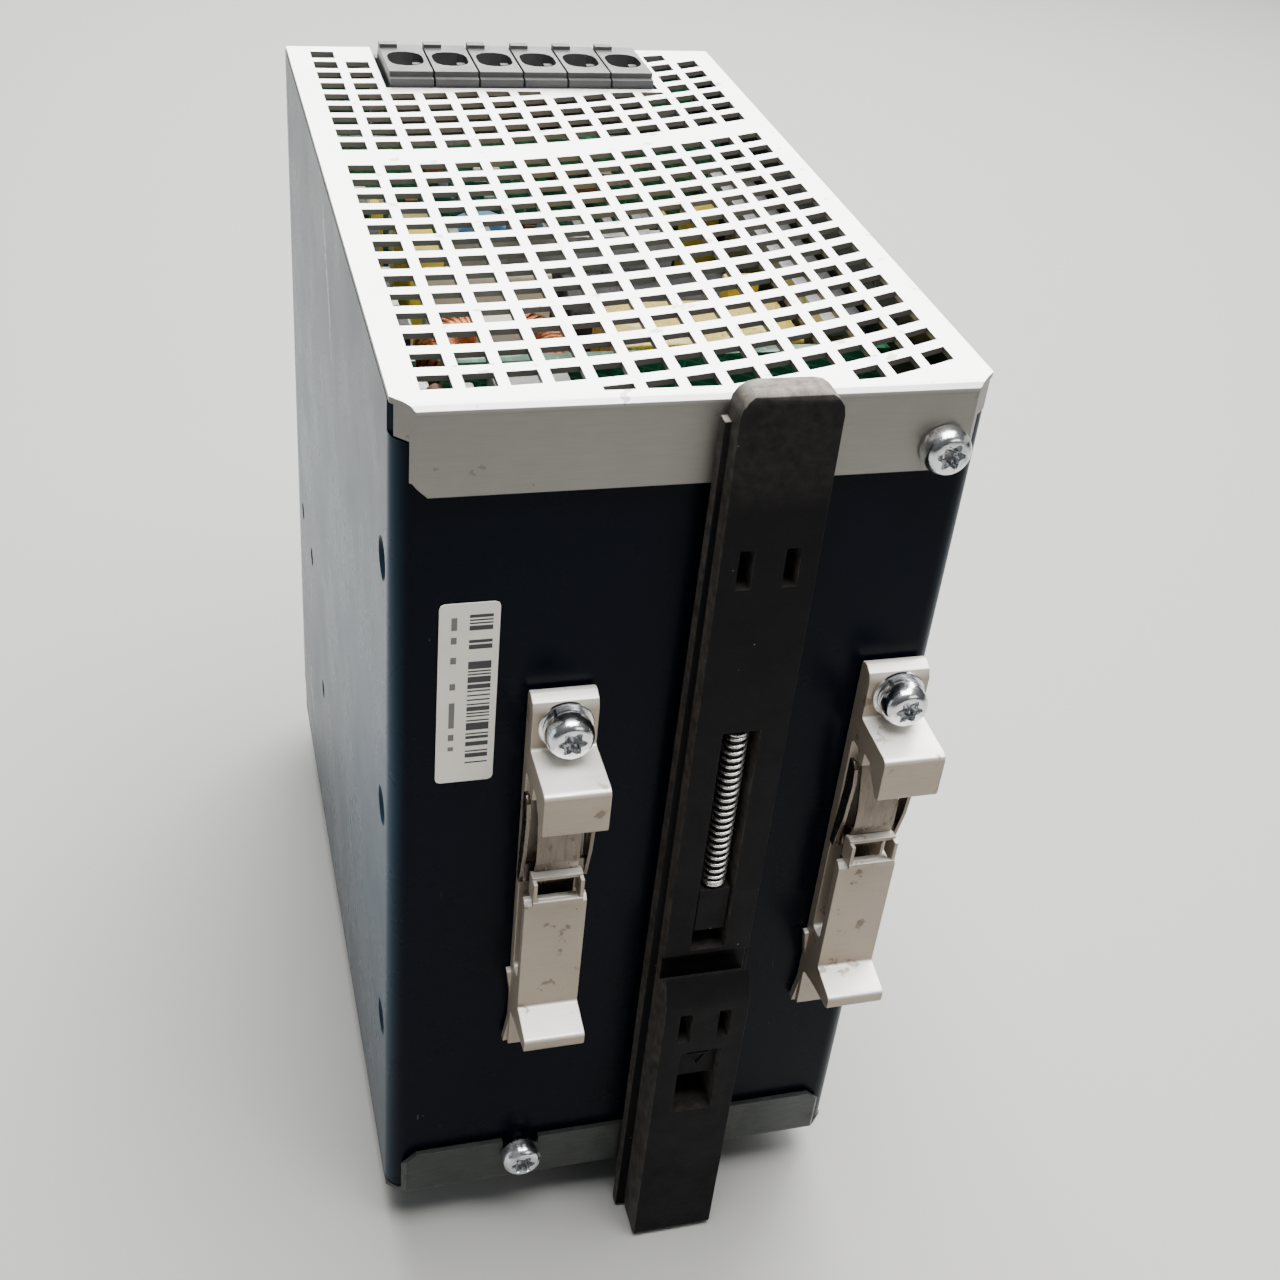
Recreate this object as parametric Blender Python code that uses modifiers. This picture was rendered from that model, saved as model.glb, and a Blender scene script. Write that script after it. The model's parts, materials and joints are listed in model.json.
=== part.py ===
# DIN rail power supply: a sheet-metal case 65 mm wide with a perforated top cover, lever terminals,
# the boards and wound parts inside it, and on its back two rail brackets and a sprung release slider.
#
# Lengths below are in millimetres and become metres as each object is made. Places are given from the
# case datum: x = 0 on the case's centre line, y = 0 on the outside of the rear wall with the front
# at -y, and z = 0 on the underside. The datum is an empty, set so that the world's origin is the
# middle of the seat of the 35 mm rail.

import math

import bmesh
import bpy
from mathutils import Matrix, Vector

MM = 0.001

# Driving dimensions
CASE_WIDTH = 65.0
CASE_HEIGHT = 124.0
CASE_DEPTH = 110.8
FULL_DEPTH = 127.0  # from the rail seat to the front of the terminal levers
RAIL_SEAT = 5.6  # the rail's flange bears this far behind the rear wall
RAIL_MIDDLE = 59.7
RAIL_HEIGHT = 35.0
GAP = 0.3  # between pieces that touch
WALL = 1.2
SHEET = 0.7

HALF_WIDTH = CASE_WIDTH / 2
FRONT = RAIL_SEAT - FULL_DEPTH
SHEET_BACK = GAP + SHEET  # outside of the covers' rear flanges
COVER_CHAMFER = SHEET_BACK + 30.0  # the covers' rear corners are cut where |x| + y passes this

# Release slider
SLIDER_X = -7.3
SLIDER_WIDTH = 11.3
SLIDER_BACK = 1.6
SLIDER_FACE = 5.4
SLIDER_LOW_FACE = 8.7
SLIDER_TOP = 126.0
SLIDER_BOTTOM = -7.3
SLIDER_TRAVEL = 6.0
JAW_TOP = 44.1
JAW_INSIDE = 6.95
JAW_FLOOR = 41.6
SLOT_WIDTH = 4.6
SLOT_BOTTOM = 47.0
SLOT_TOP = 82.5
HOOK_SPACING = 5.3
HOOK_LEG = 1.4
HOOKS_AT = ((103.2, 107.0), (34.2, 37.8))

# Lug in the slider's slot, and the spring between the two
LUG_BOTTOM = 50.0
LUG_TOP = 57.0
SPRING_RADIUS = 1.35
SPRING_WIRE = 0.5
SPRING_TURNS = 25
POINTS_PER_TURN = 6

# Rail brackets
BRACKETS = {"left": 13.2, "right": -27.05}
BRACKET_WIDTH = 7.7
BRACKET_SCREW_Z = 84.5
BRACKET_PLATE = 3.2

# Cover screws, as (x, z)
TOP_SCREW = (-27.0, 116.6)
BOTTOM_SCREW = (14.1, 6.1)
SCREW_HOLE = 1.9

# Terminals
OUTPUT_MIDDLE = 0.25
OUTPUT_PITCH = 6.5
OUTPUT_POLES = 6
INPUT_MIDDLE = 2.0
INPUT_PITCH = 8.2
INPUT_POLES = 4
POLE_REAR = -93.0
POLE_RISE = 1.9  # above the top cover, or below the underside
POLE_HEIGHT = 24.3
PIVOT_Y = FRONT + 4.1
PIVOT_DROP = 8.4  # from the pole's wire end to the lever's pivot
WIRE_ENTRY_Y = -99.6
WIRE_ENTRY_LENGTH = 6.2
WIRE_ENTRY_DEPTH = 14.0
CHEEK = 0.85

# Fittings in the front panel, as (x, z)
PANEL_DEPTH = 5.6
TRIMMER = (25.5, 88.0)
LAMPS = ((25.5, 79.0), (25.5, 72.5))
SIGNAL_LOW = (-30.6, 103.9)
SIGNAL_HIGH = (-21.0, 115.1)

# Perforation of the top cover
TAB_DROP = 4.2
HOLE_COLUMNS = 13
HOLE_PITCH = 4.6
HOLE_WIDTH = 3.35
HOLE_LENGTH = 3.0
ARC_RADIUS = 137.0  # the rows of holes bow forward along an arc of this radius
REAR_ROWS = 13
REAR_ROW_START = 4.0  # in the column nearest the left side
REAR_ROW_PITCH = 4.78
ROWS_TRIMMED_AWAY = 3  # rows that start behind the field and only enter it farther right
FRONT_ROWS = 9
FRONT_ROW_START = 69.65
FRONT_ROW_PITCH = 4.66
FIELD_REAR = -0.9
FIELD_FRONT = -108.6
FIELD_BEHIND_TERMINALS = -91.3
LAST_ROW = -107.0  # no hole has its middle farther forward
SHORTEST_HOLE = 0.8

# Directions that a flat outline's thickness runs in
ALONG_X = (math.pi / 2, 0.0, math.pi / 2)  # the outline is drawn in y and z
ALONG_Y = (math.pi / 2, 0.0, 0.0)  # the outline is drawn in x and z
ALONG_Z = (0.0, 0.0, 0.0)  # the outline is drawn in x and y
OUT_OF_WALL = (-math.pi / 2, 0.0, 0.0)  # a turned piece's own axis points to +y
OUT_OF_FRONT = (math.pi / 2, 0.0, 0.0)  # a turned piece's own axis points to -y


def start_scene():
    for thing in list(bpy.data.objects):
        bpy.data.objects.remove(thing, do_unlink=True)
    for name in ("din_rail_power_supply", "cutters"):
        bpy.context.scene.collection.children.link(bpy.data.collections.new(name))
    datum = bpy.data.objects.new("case_datum", None)
    datum.location = (0.0, -RAIL_SEAT * MM, -RAIL_MIDDLE * MM)
    bpy.data.collections["din_rail_power_supply"].objects.link(datum)


def make_material(name, colour, roughness, metallic=0.0):
    finish = bpy.data.materials.new(name)
    finish.use_nodes = True
    shader = finish.node_tree.nodes["Principled BSDF"]
    shader.inputs["Base Color"].default_value = (*colour, 1.0)
    shader.inputs["Roughness"].default_value = roughness
    shader.inputs["Metallic"].default_value = metallic


def make_materials():
    make_material("navy_paint", (0.012, 0.022, 0.055), 0.35)
    make_material("zinc_sheet", (0.78, 0.78, 0.77), 0.35, 1.0)
    make_material("grey_sheet", (0.22, 0.24, 0.24), 0.4, 1.0)
    make_material("bracket_aluminium", (0.78, 0.76, 0.72), 0.38, 1.0)
    make_material("spring_steel", (0.75, 0.74, 0.72), 0.22, 1.0)
    make_material("zinc_screw", (0.82, 0.83, 0.84), 0.2, 1.0)
    make_material("black_plastic", (0.018, 0.016, 0.017), 0.55)
    make_material("terminal_plastic", (0.055, 0.057, 0.06), 0.5)
    make_material("lever_plastic", (0.03, 0.03, 0.033), 0.45)
    make_material("front_plastic", (0.42, 0.43, 0.44), 0.45)
    make_material("label_paper", (0.72, 0.69, 0.64), 0.6)
    make_material("lamp_lens", (0.55, 0.75, 0.45), 0.15)
    make_material("trimmer_plastic", (0.75, 0.72, 0.6), 0.4)
    make_material("circuit_board", (0.02, 0.16, 0.07), 0.4)
    make_material("ferrite", (0.05, 0.05, 0.052), 0.6)
    make_material("yellow_tape", (0.85, 0.66, 0.08), 0.35)
    make_material("copper_wire", (0.72, 0.3, 0.12), 0.3, 1.0)
    make_material("capacitor_sleeve", (0.03, 0.03, 0.035), 0.35)
    make_material("film_capacitor_case", (0.8, 0.62, 0.1), 0.4)
    make_material("blue_ceramic", (0.2, 0.42, 0.62), 0.45)
    make_material("heat_sink_metal", (0.55, 0.56, 0.57), 0.4, 1.0)


# Placing pieces and cutters

def place(name, data, finish=None, at=(0.0, 0.0, 0.0), turn=ALONG_Z):
    """Adds an object to the model, or to the cutters where it has no finish."""
    thing = bpy.data.objects.new(name, data)
    group = "din_rail_power_supply" if finish else "cutters"
    bpy.data.collections[group].objects.link(thing)
    thing.parent = bpy.data.objects["case_datum"]
    thing.location = Vector(at) * MM
    thing.rotation_euler = turn
    if finish:
        data.materials.append(bpy.data.materials[finish])
    else:
        thing.hide_render = True
        thing.display_type = "WIRE"
    return thing


def combine(thing, tool, operation):
    joint = thing.modifiers.new(operation.lower(), "BOOLEAN")
    joint.operation = operation
    joint.solver = "EXACT"
    joint.object = tool
    return thing


def cut(thing, tool):
    return combine(thing, tool, "DIFFERENCE")


def unite(thing, tool):
    return combine(thing, tool, "UNION")


def soften(thing, width, segments=2):
    bevel = thing.modifiers.new("soft_edges", "BEVEL")
    bevel.width = width * MM
    bevel.segments = segments
    bevel.limit_method = "ANGLE"
    bevel.angle_limit = math.radians(40)
    return thing


def smooth(thing):
    thing.data.shade_smooth()
    thing.data.set_sharp_from_angle(angle=math.radians(35))
    return thing


# Shapes

def blocks(name, corners, finish=None, at=(0.0, 0.0, 0.0)):
    """One mesh of boxes, each given by its lowest and highest corner."""
    shape = bmesh.new()
    for low, high in corners:
        low, high = Vector(low), Vector(high)
        matrix = Matrix.LocRotScale((low + high) / 2 * MM, None, (high - low) * MM)
        bmesh.ops.create_cube(shape, size=1.0, matrix=matrix)
    data = bpy.data.meshes.new(name)
    shape.to_mesh(data)
    shape.free()
    return place(name, data, finish, at)


def block(name, low, high, finish=None):
    middle = (Vector(low) + Vector(high)) / 2
    return blocks(name, [(Vector(low) - middle, Vector(high) - middle)], finish, middle)


def rods(name, radius, length, centres, turn, finish=None, sides=16, far_radius=None):
    """One mesh of round bars, or of cones, whose axes run along the turned z."""
    shape = bmesh.new()
    spin = Matrix.Rotation(math.pi / sides, 4, "Z")
    for centre in centres:
        bmesh.ops.create_cone(
            shape,
            cap_ends=True,
            segments=sides,
            radius1=radius * MM,
            radius2=(radius if far_radius is None else far_radius) * MM,
            depth=length * MM,
            matrix=Matrix.Translation(Vector(centre) * MM) @ spin,
        )
    data = bpy.data.meshes.new(name)
    shape.to_mesh(data)
    shape.free()
    return smooth(place(name, data, finish, turn=turn))


def rod(name, radius, length, centre, turn, finish=None, sides=16, far_radius=None):
    bar = rods(name, radius, length, [(0.0, 0.0, 0.0)], turn, finish, sides, far_radius)
    bar.location = Vector(centre) * MM
    return bar


def arc(centre, radius, first, last, steps):
    """Points along an arc, its angles in degrees."""
    turns = [math.radians(first + (last - first) * i / steps) for i in range(steps + 1)]
    return [(centre[0] + radius * math.cos(t), centre[1] + radius * math.sin(t)) for t in turns]


def rounded(corners, steps=2):
    """An outline from (a, b, radius) corners, with an arc where the radius isn't 0."""
    outline = []
    for i, (a, b, radius) in enumerate(corners):
        corner = Vector((a, b))
        if radius == 0:
            outline.append((a, b))
            continue
        before = (Vector(corners[i - 1][:2]) - corner).normalized()
        after = (Vector(corners[(i + 1) % len(corners)][:2]) - corner).normalized()
        half = before.angle(after) / 2
        centre = corner + (before + after).normalized() * radius / math.sin(half)
        start = corner + before * radius / math.tan(half) - centre
        end = corner + after * radius / math.tan(half) - centre
        sweep = end.angle_signed(start)
        for step in range(steps + 1):
            spoke = Matrix.Rotation(sweep * step / steps, 2) @ start
            outline.append(tuple(centre + spoke))
    return outline


def rectangle(low, high, radius=0.0):
    (a0, b0), (a1, b1) = low, high
    return rounded([(a0, b0, radius), (a1, b0, radius), (a1, b1, radius), (a0, b1, radius)])


def plate(name, outline, thickness, turn, at=(0.0, 0.0, 0.0), finish=None, holes=()):
    """A flat outline, with any holes in it, given a thickness and made a mesh."""
    curve = bpy.data.curves.new(name, "CURVE")
    curve.dimensions = "2D"
    curve.fill_mode = "BOTH"
    curve.extrude = thickness / 2 * MM
    for loop in (outline, *holes):
        spline = curve.splines.new("POLY")
        spline.points.add(len(loop) - 1)
        spline.use_cyclic_u = True
        for point, (a, b) in zip(spline.points, loop):
            point.co = (a * MM, b * MM, 0.0, 1.0)
    drawn = bpy.data.objects.new(name + "_outline", curve)
    bpy.context.scene.collection.objects.link(drawn)
    data = bpy.data.meshes.new_from_object(drawn.evaluated_get(bpy.context.evaluated_depsgraph_get()))
    bpy.data.objects.remove(drawn)
    bpy.data.curves.remove(curve)
    shape = bmesh.new()
    shape.from_mesh(data)
    bmesh.ops.remove_doubles(shape, verts=shape.verts, dist=0.001 * MM)
    bmesh.ops.recalc_face_normals(shape, faces=shape.faces)
    shape.to_mesh(data)
    shape.free()
    data.materials.clear()
    return place(name, data, finish, at, turn)


def bent_sheet(name, path, width, direction, thickness, finish, at=(0.0, 0.0, 0.0)):
    """A bent sheet: a path of points, drawn out along a direction and made solid on its left side."""
    shape = bmesh.new()
    points = [shape.verts.new(Vector(point) * MM) for point in path]
    edges = [shape.edges.new(pair) for pair in zip(points, points[1:])]
    grown = bmesh.ops.extrude_edge_only(shape, edges=edges)
    moved = [item for item in grown["geom"] if isinstance(item, bmesh.types.BMVert)]
    bmesh.ops.translate(shape, verts=moved, vec=Vector(direction) * width * MM)
    bmesh.ops.recalc_face_normals(shape, faces=shape.faces)
    data = bpy.data.meshes.new(name)
    shape.to_mesh(data)
    shape.free()
    sheet = place(name, data, finish, at)
    solid = sheet.modifiers.new("thickness", "SOLIDIFY")
    solid.thickness = abs(thickness) * MM
    solid.offset = math.copysign(1.0, thickness)
    solid.use_even_offset = True
    return sheet


def turned(name, profile, at, turn, finish, steps=20):
    """A turned piece from a (radius, height) profile that runs from the top down its outer side."""
    data = bpy.data.meshes.new(name)
    points = [(radius * MM, 0.0, height * MM) for radius, height in profile]
    data.from_pydata(points, [(i, i + 1) for i in range(len(points) - 1)], [])
    piece = place(name, data, finish, at, turn)
    screw = piece.modifiers.new("turning", "SCREW")
    screw.steps = steps
    screw.render_steps = steps
    screw.use_merge_vertices = True
    screw.merge_threshold = 0.005 * MM
    screw.use_smooth_shade = True
    return piece


# Case

def build_housing():
    corner = 2.6
    top, bottom = CASE_HEIGHT - SHEET - GAP, SHEET + GAP
    side, front = HALF_WIDTH, -CASE_DEPTH
    path = [(-side, front)]
    path += arc((-side + corner, -corner), corner, 180, 90, 4)
    path += arc((side - corner, -corner), corner, 90, 0, 4)
    path += [(side, front)]
    housing = bent_sheet(
        "housing", [(x, y, bottom) for x, y in path], top - bottom, (0, 0, 1), -WALL, "navy_paint"
    )
    # Countersunk holes near the rear edge of both sides, and small plain holes farther forward
    quarter = math.pi / 2
    for tag, x, turn in (("left", side, (0.0, quarter, 0.0)), ("right", -side, (0.0, -quarter, 0.0))):
        for row, z in enumerate((102.0, 66.6, 29.4)):
            dish = rod(f"cut_dish_{tag}_{row}", 1.3, 2.4, (x, -6.2, z), turn, far_radius=3.9, sides=14)
            cut(housing, dish)
        for row, (y, z) in enumerate(((-76.3, 30.5), (-90.7, 47.0), (-105.0, 47.0))):
            cut(housing, rod(f"cut_hole_{tag}_{row}", 1.6, 4 * WALL, (x, y, z), turn, sides=8))
    # Upper rear corners, cut back behind the top cover's folded tabs
    for tag, side in (("left", 1), ("right", -1)):
        corner = corner_cutter(f"cut_housing_corner_{tag}", side, SHEET + GAP, 2 * (TAB_DROP + GAP))
        corner.location.z = CASE_HEIGHT * MM
        cut(housing, corner)
    # Rear wall: slots for the slider's hooks, and holes for the screws and the lug's pin
    slots = []
    for low, high in HOOKS_AT:
        for offset in (-HOOK_SPACING / 2, HOOK_SPACING / 2):
            x = SLIDER_X + offset
            reach = HOOK_LEG / 2 + GAP
            slots.append(((x - reach, -4, low - SLIDER_TRAVEL - GAP), (x + reach, 2, high + GAP)))
    cut(housing, blocks("cut_hook_slots", slots))
    holes = [(x, -BRACKET_SCREW_Z, 0) for x in BRACKETS.values()]
    holes += [(x, -z, 0) for x, z in (TOP_SCREW, BOTTOM_SCREW)]
    holes.append((SLIDER_X, -(LUG_BOTTOM + LUG_TOP) / 2, 0))
    cut(housing, rods("cut_wall_holes", SCREW_HOLE, 6 * WALL, holes, OUT_OF_WALL, sides=12))
    return housing


def grille_cutter():
    """The cover's punched holes, in rows that follow an arc and are trimmed to the field's edges."""
    rows = [REAR_ROW_START + REAR_ROW_PITCH * row for row in range(-ROWS_TRIMMED_AWAY, REAR_ROWS)]
    rows += [FRONT_ROW_START + FRONT_ROW_PITCH * row for row in range(FRONT_ROWS)]
    first_column = (HOLE_COLUMNS - 1) / 2 * HOLE_PITCH
    shape = bmesh.new()
    for column in range(HOLE_COLUMNS):
        x = first_column - column * HOLE_PITCH
        beside_terminals = abs(x - OUTPUT_MIDDLE) > OUTPUT_PITCH * OUTPUT_POLES / 2 + HOLE_WIDTH / 2
        nearest = FIELD_FRONT if beside_terminals else FIELD_BEHIND_TERMINALS
        for row in rows:
            left, right = [
                -row - (first_column - side) ** 2 / (2 * ARC_RADIUS)
                for side in (x + HOLE_WIDTH / 2, x - HOLE_WIDTH / 2)
            ]
            if (left + right) / 2 < LAST_ROW:
                continue
            ends = [
                (min(max(y - half, nearest), FIELD_REAR), min(max(y + half, nearest), FIELD_REAR))
                for y in (left, right) for half in (HOLE_LENGTH / 2,)
            ]
            if min(high - low for low, high in ends) < SHORTEST_HOLE:
                continue
            size = Vector((HOLE_WIDTH, 1.0, 4 * SHEET))
            matrix = Matrix.LocRotScale(Vector((x, 0.0, CASE_HEIGHT)) * MM, None, size * MM)
            for corner in bmesh.ops.create_cube(shape, size=1.0, matrix=matrix)["verts"]:
                low, high = ends[0] if corner.co.x > x * MM else ends[1]
                corner.co.y = (high if corner.co.y > 0 else low) * MM
    data = bpy.data.meshes.new("cut_grille")
    shape.to_mesh(data)
    shape.free()
    return place("cut_grille", data)


def bend_path(first, corner, last, radius=1.3):
    """A sheet's path in y and z, with a bend of the given radius at its corner."""
    before = (Vector(first) - Vector(corner)).normalized()
    after = (Vector(last) - Vector(corner)).normalized()
    points = [tuple(first)]
    for step in range(4):
        turn = math.pi / 2 * step / 3
        offset = before * (1 - math.sin(turn)) + after * (1 - math.cos(turn))
        points.append(tuple(Vector(corner) + offset * radius))
    points.append(tuple(last))
    return points


def corner_cutter(name, side, inset, height):
    """Takes away what lies outside the slanted line across a rear corner, moved inwards by the inset."""
    line = COVER_CHAMFER - inset * math.sqrt(2)
    far = HALF_WIDTH + 4
    corner = [(side * (line - 4), 4), (side * far, 4), (side * far, line - far)]
    return plate(name, corner, height, ALONG_Z)


def build_top_cover():
    flange_low = 113.6
    path = bend_path((-CASE_DEPTH, CASE_HEIGHT), (SHEET_BACK, CASE_HEIGHT), (SHEET_BACK, flange_low))
    cover = bent_sheet(
        "top_cover", [(-HALF_WIDTH, y, z) for y, z in path], CASE_WIDTH, (1, 0, 0), -SHEET, "zinc_sheet"
    )
    # Rear corners cut at a slant, each closed by a small tab folded down along the cut
    flange = COVER_CHAMFER - SHEET_BACK
    for tag, side in (("left", 1), ("right", -1)):
        cut(cover, corner_cutter(f"cut_cover_corner_{tag}", side, 0.0, 3 * CASE_HEIGHT))
        tip = [(side * (flange - 1.5), flange_low - 0.4), (side * (flange + 3), flange_low - 0.4)]
        tip += [(side * (flange + 3), flange_low + 1.5), (side * (flange + 0.4), flange_low + 1.5)]
        cut(cover, plate(f"cut_flange_corner_{tag}", tip, 3 * SHEET, ALONG_Y, (0, 1, 0)))
        slant = (HALF_WIDTH - flange) / 2
        inset = SHEET / 2 / math.sqrt(2)
        middle = (side * (flange + slant - inset), SHEET_BACK - slant - inset, 0)
        fold = rectangle((-1.2, CASE_HEIGHT - TAB_DROP), (1.2, CASE_HEIGHT - SHEET / 2))
        turn = (math.pi / 2, 0.0, -side * math.pi / 4)
        unite(cover, plate(f"join_corner_tab_{tag}", fold, SHEET, turn, middle))
    half_block = OUTPUT_PITCH * OUTPUT_POLES / 2 + 0.5
    low = (OUTPUT_MIDDLE - half_block, -CASE_DEPTH - 1, CASE_HEIGHT - 3)
    high = (OUTPUT_MIDDLE + half_block, POLE_REAR + 0.5, CASE_HEIGHT + 3)
    cut(cover, block("cut_output_window", low, high))
    cut(cover, grille_cutter())
    x, z = TOP_SCREW
    cut(cover, rod("cut_cover_screw_hole", SCREW_HOLE, 3 * SHEET, (x, 1, z), OUT_OF_WALL))
    return cover


def build_bottom_cover():
    flange_high, flange = 8.5, 30.6
    path = bend_path((-CASE_DEPTH, 0), (SHEET_BACK, 0), (SHEET_BACK, flange_high))
    cover = bent_sheet(
        "bottom_cover", [(-HALF_WIDTH, y, z) for y, z in path], CASE_WIDTH, (1, 0, 0), -SHEET, "grey_sheet"
    )
    edge = HALF_WIDTH + 1
    for tag, side in (("left", 1), ("right", -1)):
        cut(cover, corner_cutter(f"cut_bottom_corner_{tag}", side, 0.0, 3 * flange_high))
        ear = [(side * flange, SHEET), (side * edge, SHEET), (side * edge, flange_high + 1)]
        ear += [(side * (flange - 2.4), flange_high + 1), (side * (flange - 1.9), flange_high - 0.1)]
        ear += [(side * flange, flange_high - 2)]
        cut(cover, plate(f"cut_bottom_ear_{tag}", ear, 3 * SHEET, ALONG_Y, (0, 1, 0)))
    x, z = BOTTOM_SCREW
    notch = arc((x, z - 0.6), 2.3, 180, 360, 6) + [(x + 2.6, flange_high + 1), (x - 2.6, flange_high + 1)]
    cut(cover, plate("cut_screw_notch", notch, 3 * SHEET, ALONG_Y, (0, 1, 0)))
    half_block = INPUT_PITCH * INPUT_POLES / 2 + 0.5
    low = (INPUT_MIDDLE - half_block, -CASE_DEPTH - 1, -3)
    high = (INPUT_MIDDLE + half_block, POLE_REAR + 0.5, 3)
    cut(cover, block("cut_input_window", low, high))
    # Air slots in two columns
    slots = []
    for row in range(13):
        y = -10.0 - 6.2 * row
        for x in (-14.5, 14.5):
            slots.append(((x - 12.5, y - 1.6, -3), (x + 12.5, y + 1.6, 3)))
    cut(cover, blocks("cut_air_slots", slots))
    return cover


def build_front_panel():
    panel_back, panel_front = -CASE_DEPTH - GAP, -CASE_DEPTH - PANEL_DEPTH
    half, low, high = HALF_WIDTH - 0.3, 0.4, CASE_HEIGHT - 0.4
    output = OUTPUT_PITCH * OUTPUT_POLES / 2 + 0.4
    supply = INPUT_PITCH * INPUT_POLES / 2 + 0.4
    output_low = CASE_HEIGHT + POLE_RISE - POLE_HEIGHT - 0.4
    supply_high = POLE_HEIGHT - POLE_RISE + 0.4
    outline = rounded([
        (-half, low, 2.0), (INPUT_MIDDLE - supply, low, 0.5),
        (INPUT_MIDDLE - supply, supply_high, 0), (INPUT_MIDDLE + supply, supply_high, 0),
        (INPUT_MIDDLE + supply, low, 0.5), (half, low, 2.0), (half, high, 2.0),
        (OUTPUT_MIDDLE + output, high, 0.5), (OUTPUT_MIDDLE + output, output_low, 0),
        (OUTPUT_MIDDLE - output, output_low, 0), (OUTPUT_MIDDLE - output, high, 0.5),
        (-half, high, 2.0),
    ])
    deep = panel_back - panel_front
    panel = plate(
        "front_panel", outline, deep, ALONG_Y, (0, (panel_back + panel_front) / 2, 0), "front_plastic"
    )
    # Its top edge slopes down to the front
    slope = [(panel_back + 1, high + 0.2), (panel_back + 1, high + 3), (panel_front - 1, high + 3)]
    slope += [(panel_front - 1, high - 2.2)]
    cut(panel, plate("cut_panel_slope", slope, CASE_WIDTH + 2, ALONG_X))
    # The panel is a tray, open towards the case
    inside = panel_front + 2.0
    hollows = [
        ((-half + 2, inside, supply_high + 2), (half - 2, panel_back + 1, output_low - 2)),
        ((-half + 2, inside, low + 2), (INPUT_MIDDLE - supply - 2, panel_back + 1, supply_high + 3)),
        ((INPUT_MIDDLE + supply + 2, inside, low + 2), (half - 2, panel_back + 1, supply_high + 3)),
    ]
    for number, (first, last) in enumerate(hollows):
        cut(panel, block(f"cut_panel_hollow_{number}", first, last))
    (left, low), (right, high) = SIGNAL_LOW, SIGNAL_HIGH
    window = ((left - 0.4, panel_front - 1, low - 0.4), (right + 0.4, panel_back + 1, high + 0.4))
    cut(panel, block("cut_signal_window", *window))
    fittings = [(TRIMMER[0], TRIMMER[1], 3.3)] + [(x, z, 1.9) for x, z in LAMPS]
    for number, (x, z, radius) in enumerate(fittings):
        hole = rod(f"cut_panel_hole_{number}", radius, 12, (x, panel_front, z), OUT_OF_FRONT, sides=20)
        cut(panel, hole)
    return panel


def build_front_fittings():
    face = -CASE_DEPTH - PANEL_DEPTH
    x, z = TRIMMER
    knob = turned(
        "voltage_trimmer",
        [(0, 3.6), (2.3, 3.6), (2.9, 3.0), (2.9, 0), (1.5, 0), (1.5, -6), (0, -6)],
        (x, face + 3.0, z), OUT_OF_FRONT, "trimmer_plastic", 16,
    )
    cut(knob, block("cut_trimmer_slot", (x - 2.0, face - 2, z - 0.4), (x + 2.0, face + 0.4, z + 0.4)))
    for number, (x, z) in enumerate(LAMPS, 1):
        turned(
            f"lamp_lens_{number}",
            [(0, 1.0), (0.9, 0.85), (1.5, 0.4), (1.5, -7), (0, -7)],
            (x, face + 0.2, z), OUT_OF_FRONT, "lamp_lens", 12,
        )
    (left, low), (right, high) = SIGNAL_LOW, SIGNAL_HIGH
    terminal = block(
        "signal_terminal", (left, face - 1.2, low), (right, -CASE_DEPTH + 8, high), "terminal_plastic"
    )
    soften(terminal, 0.4)
    entries = []
    for x in (left + 2.3, right - 2.3):
        for z in (low + 2.7, high - 2.9):
            entries.append(((x - 1.1, face - 3, z - 1.1), (x + 1.1, face + 6, z + 1.1)))
    cut(terminal, blocks("cut_signal_entries", entries))


# Terminals

def build_pole(name, x, pitch, up):
    """One terminal pole. Its wire end points up on the output side, and down on the input side."""
    way = 1 if up else -1
    end = CASE_HEIGHT + POLE_RISE if up else -POLE_RISE
    front = FRONT + 0.8
    lever_back = PIVOT_Y + 2.75
    # Points as (y, distance down from the wire end)
    outline = [
        (POLE_REAR, 0.8), (POLE_REAR, POLE_HEIGHT), (lever_back, POLE_HEIGHT),
        (lever_back, POLE_HEIGHT - 6), (front, POLE_HEIGHT - 6), (front, PIVOT_DROP - 1.6),
        (lever_back - 1.0, PIVOT_DROP - 4.0), (-107.2, 2.4), (-106.0, 0.0), (POLE_REAR - 0.9, 0.0),
        (POLE_REAR - 0.9, 0.8),
    ]
    outline = [(y, end - way * drop) for y, drop in outline]
    width = pitch - GAP
    pole = plate(name, outline, width, ALONG_X, (x, 0, 0), "terminal_plastic")
    # Raised lump beside the seam to the next pole
    lump = sorted((end + way * 0.55, end - way * 0.6))
    edge = x + width / 2
    unite(pole, block("join_lump_" + name, (edge - 2.6, -105.9, lump[0]), (edge, -104.4, lump[1])))
    lows = sorted((end + way, end - way * (POLE_HEIGHT + 1)))
    channel = block(
        "cut_channel_" + name, (x - width / 2 + CHEEK, FRONT - 1, lows[0]),
        (x + width / 2 - CHEEK, lever_back, lows[1]),
    )
    cut(pole, channel)
    # Wire entry, wide enough for the bare end of a 6 mm2 wire, and the bores of the lever's pivot
    half = width / 2 - 0.55
    entry = [(-half, -WIRE_ENTRY_LENGTH / 2), (half, -WIRE_ENTRY_LENGTH / 2)]
    entry += [(half, WIRE_ENTRY_LENGTH / 2), (-half, WIRE_ENTRY_LENGTH / 2)]
    entry = rounded([(*corner, 2.1) for corner in entry], 3)
    deep = 2 * WIRE_ENTRY_DEPTH
    cut(pole, plate("cut_entry_" + name, entry, deep, ALONG_Z, (x, WIRE_ENTRY_Y, end)))
    pivot = (x, PIVOT_Y, end - way * PIVOT_DROP)
    cut(pole, rod("cut_pivot_" + name, 1.15, 2 * pitch, pivot, (0.0, math.pi / 2, 0.0), sides=8))
    return pole


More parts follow.
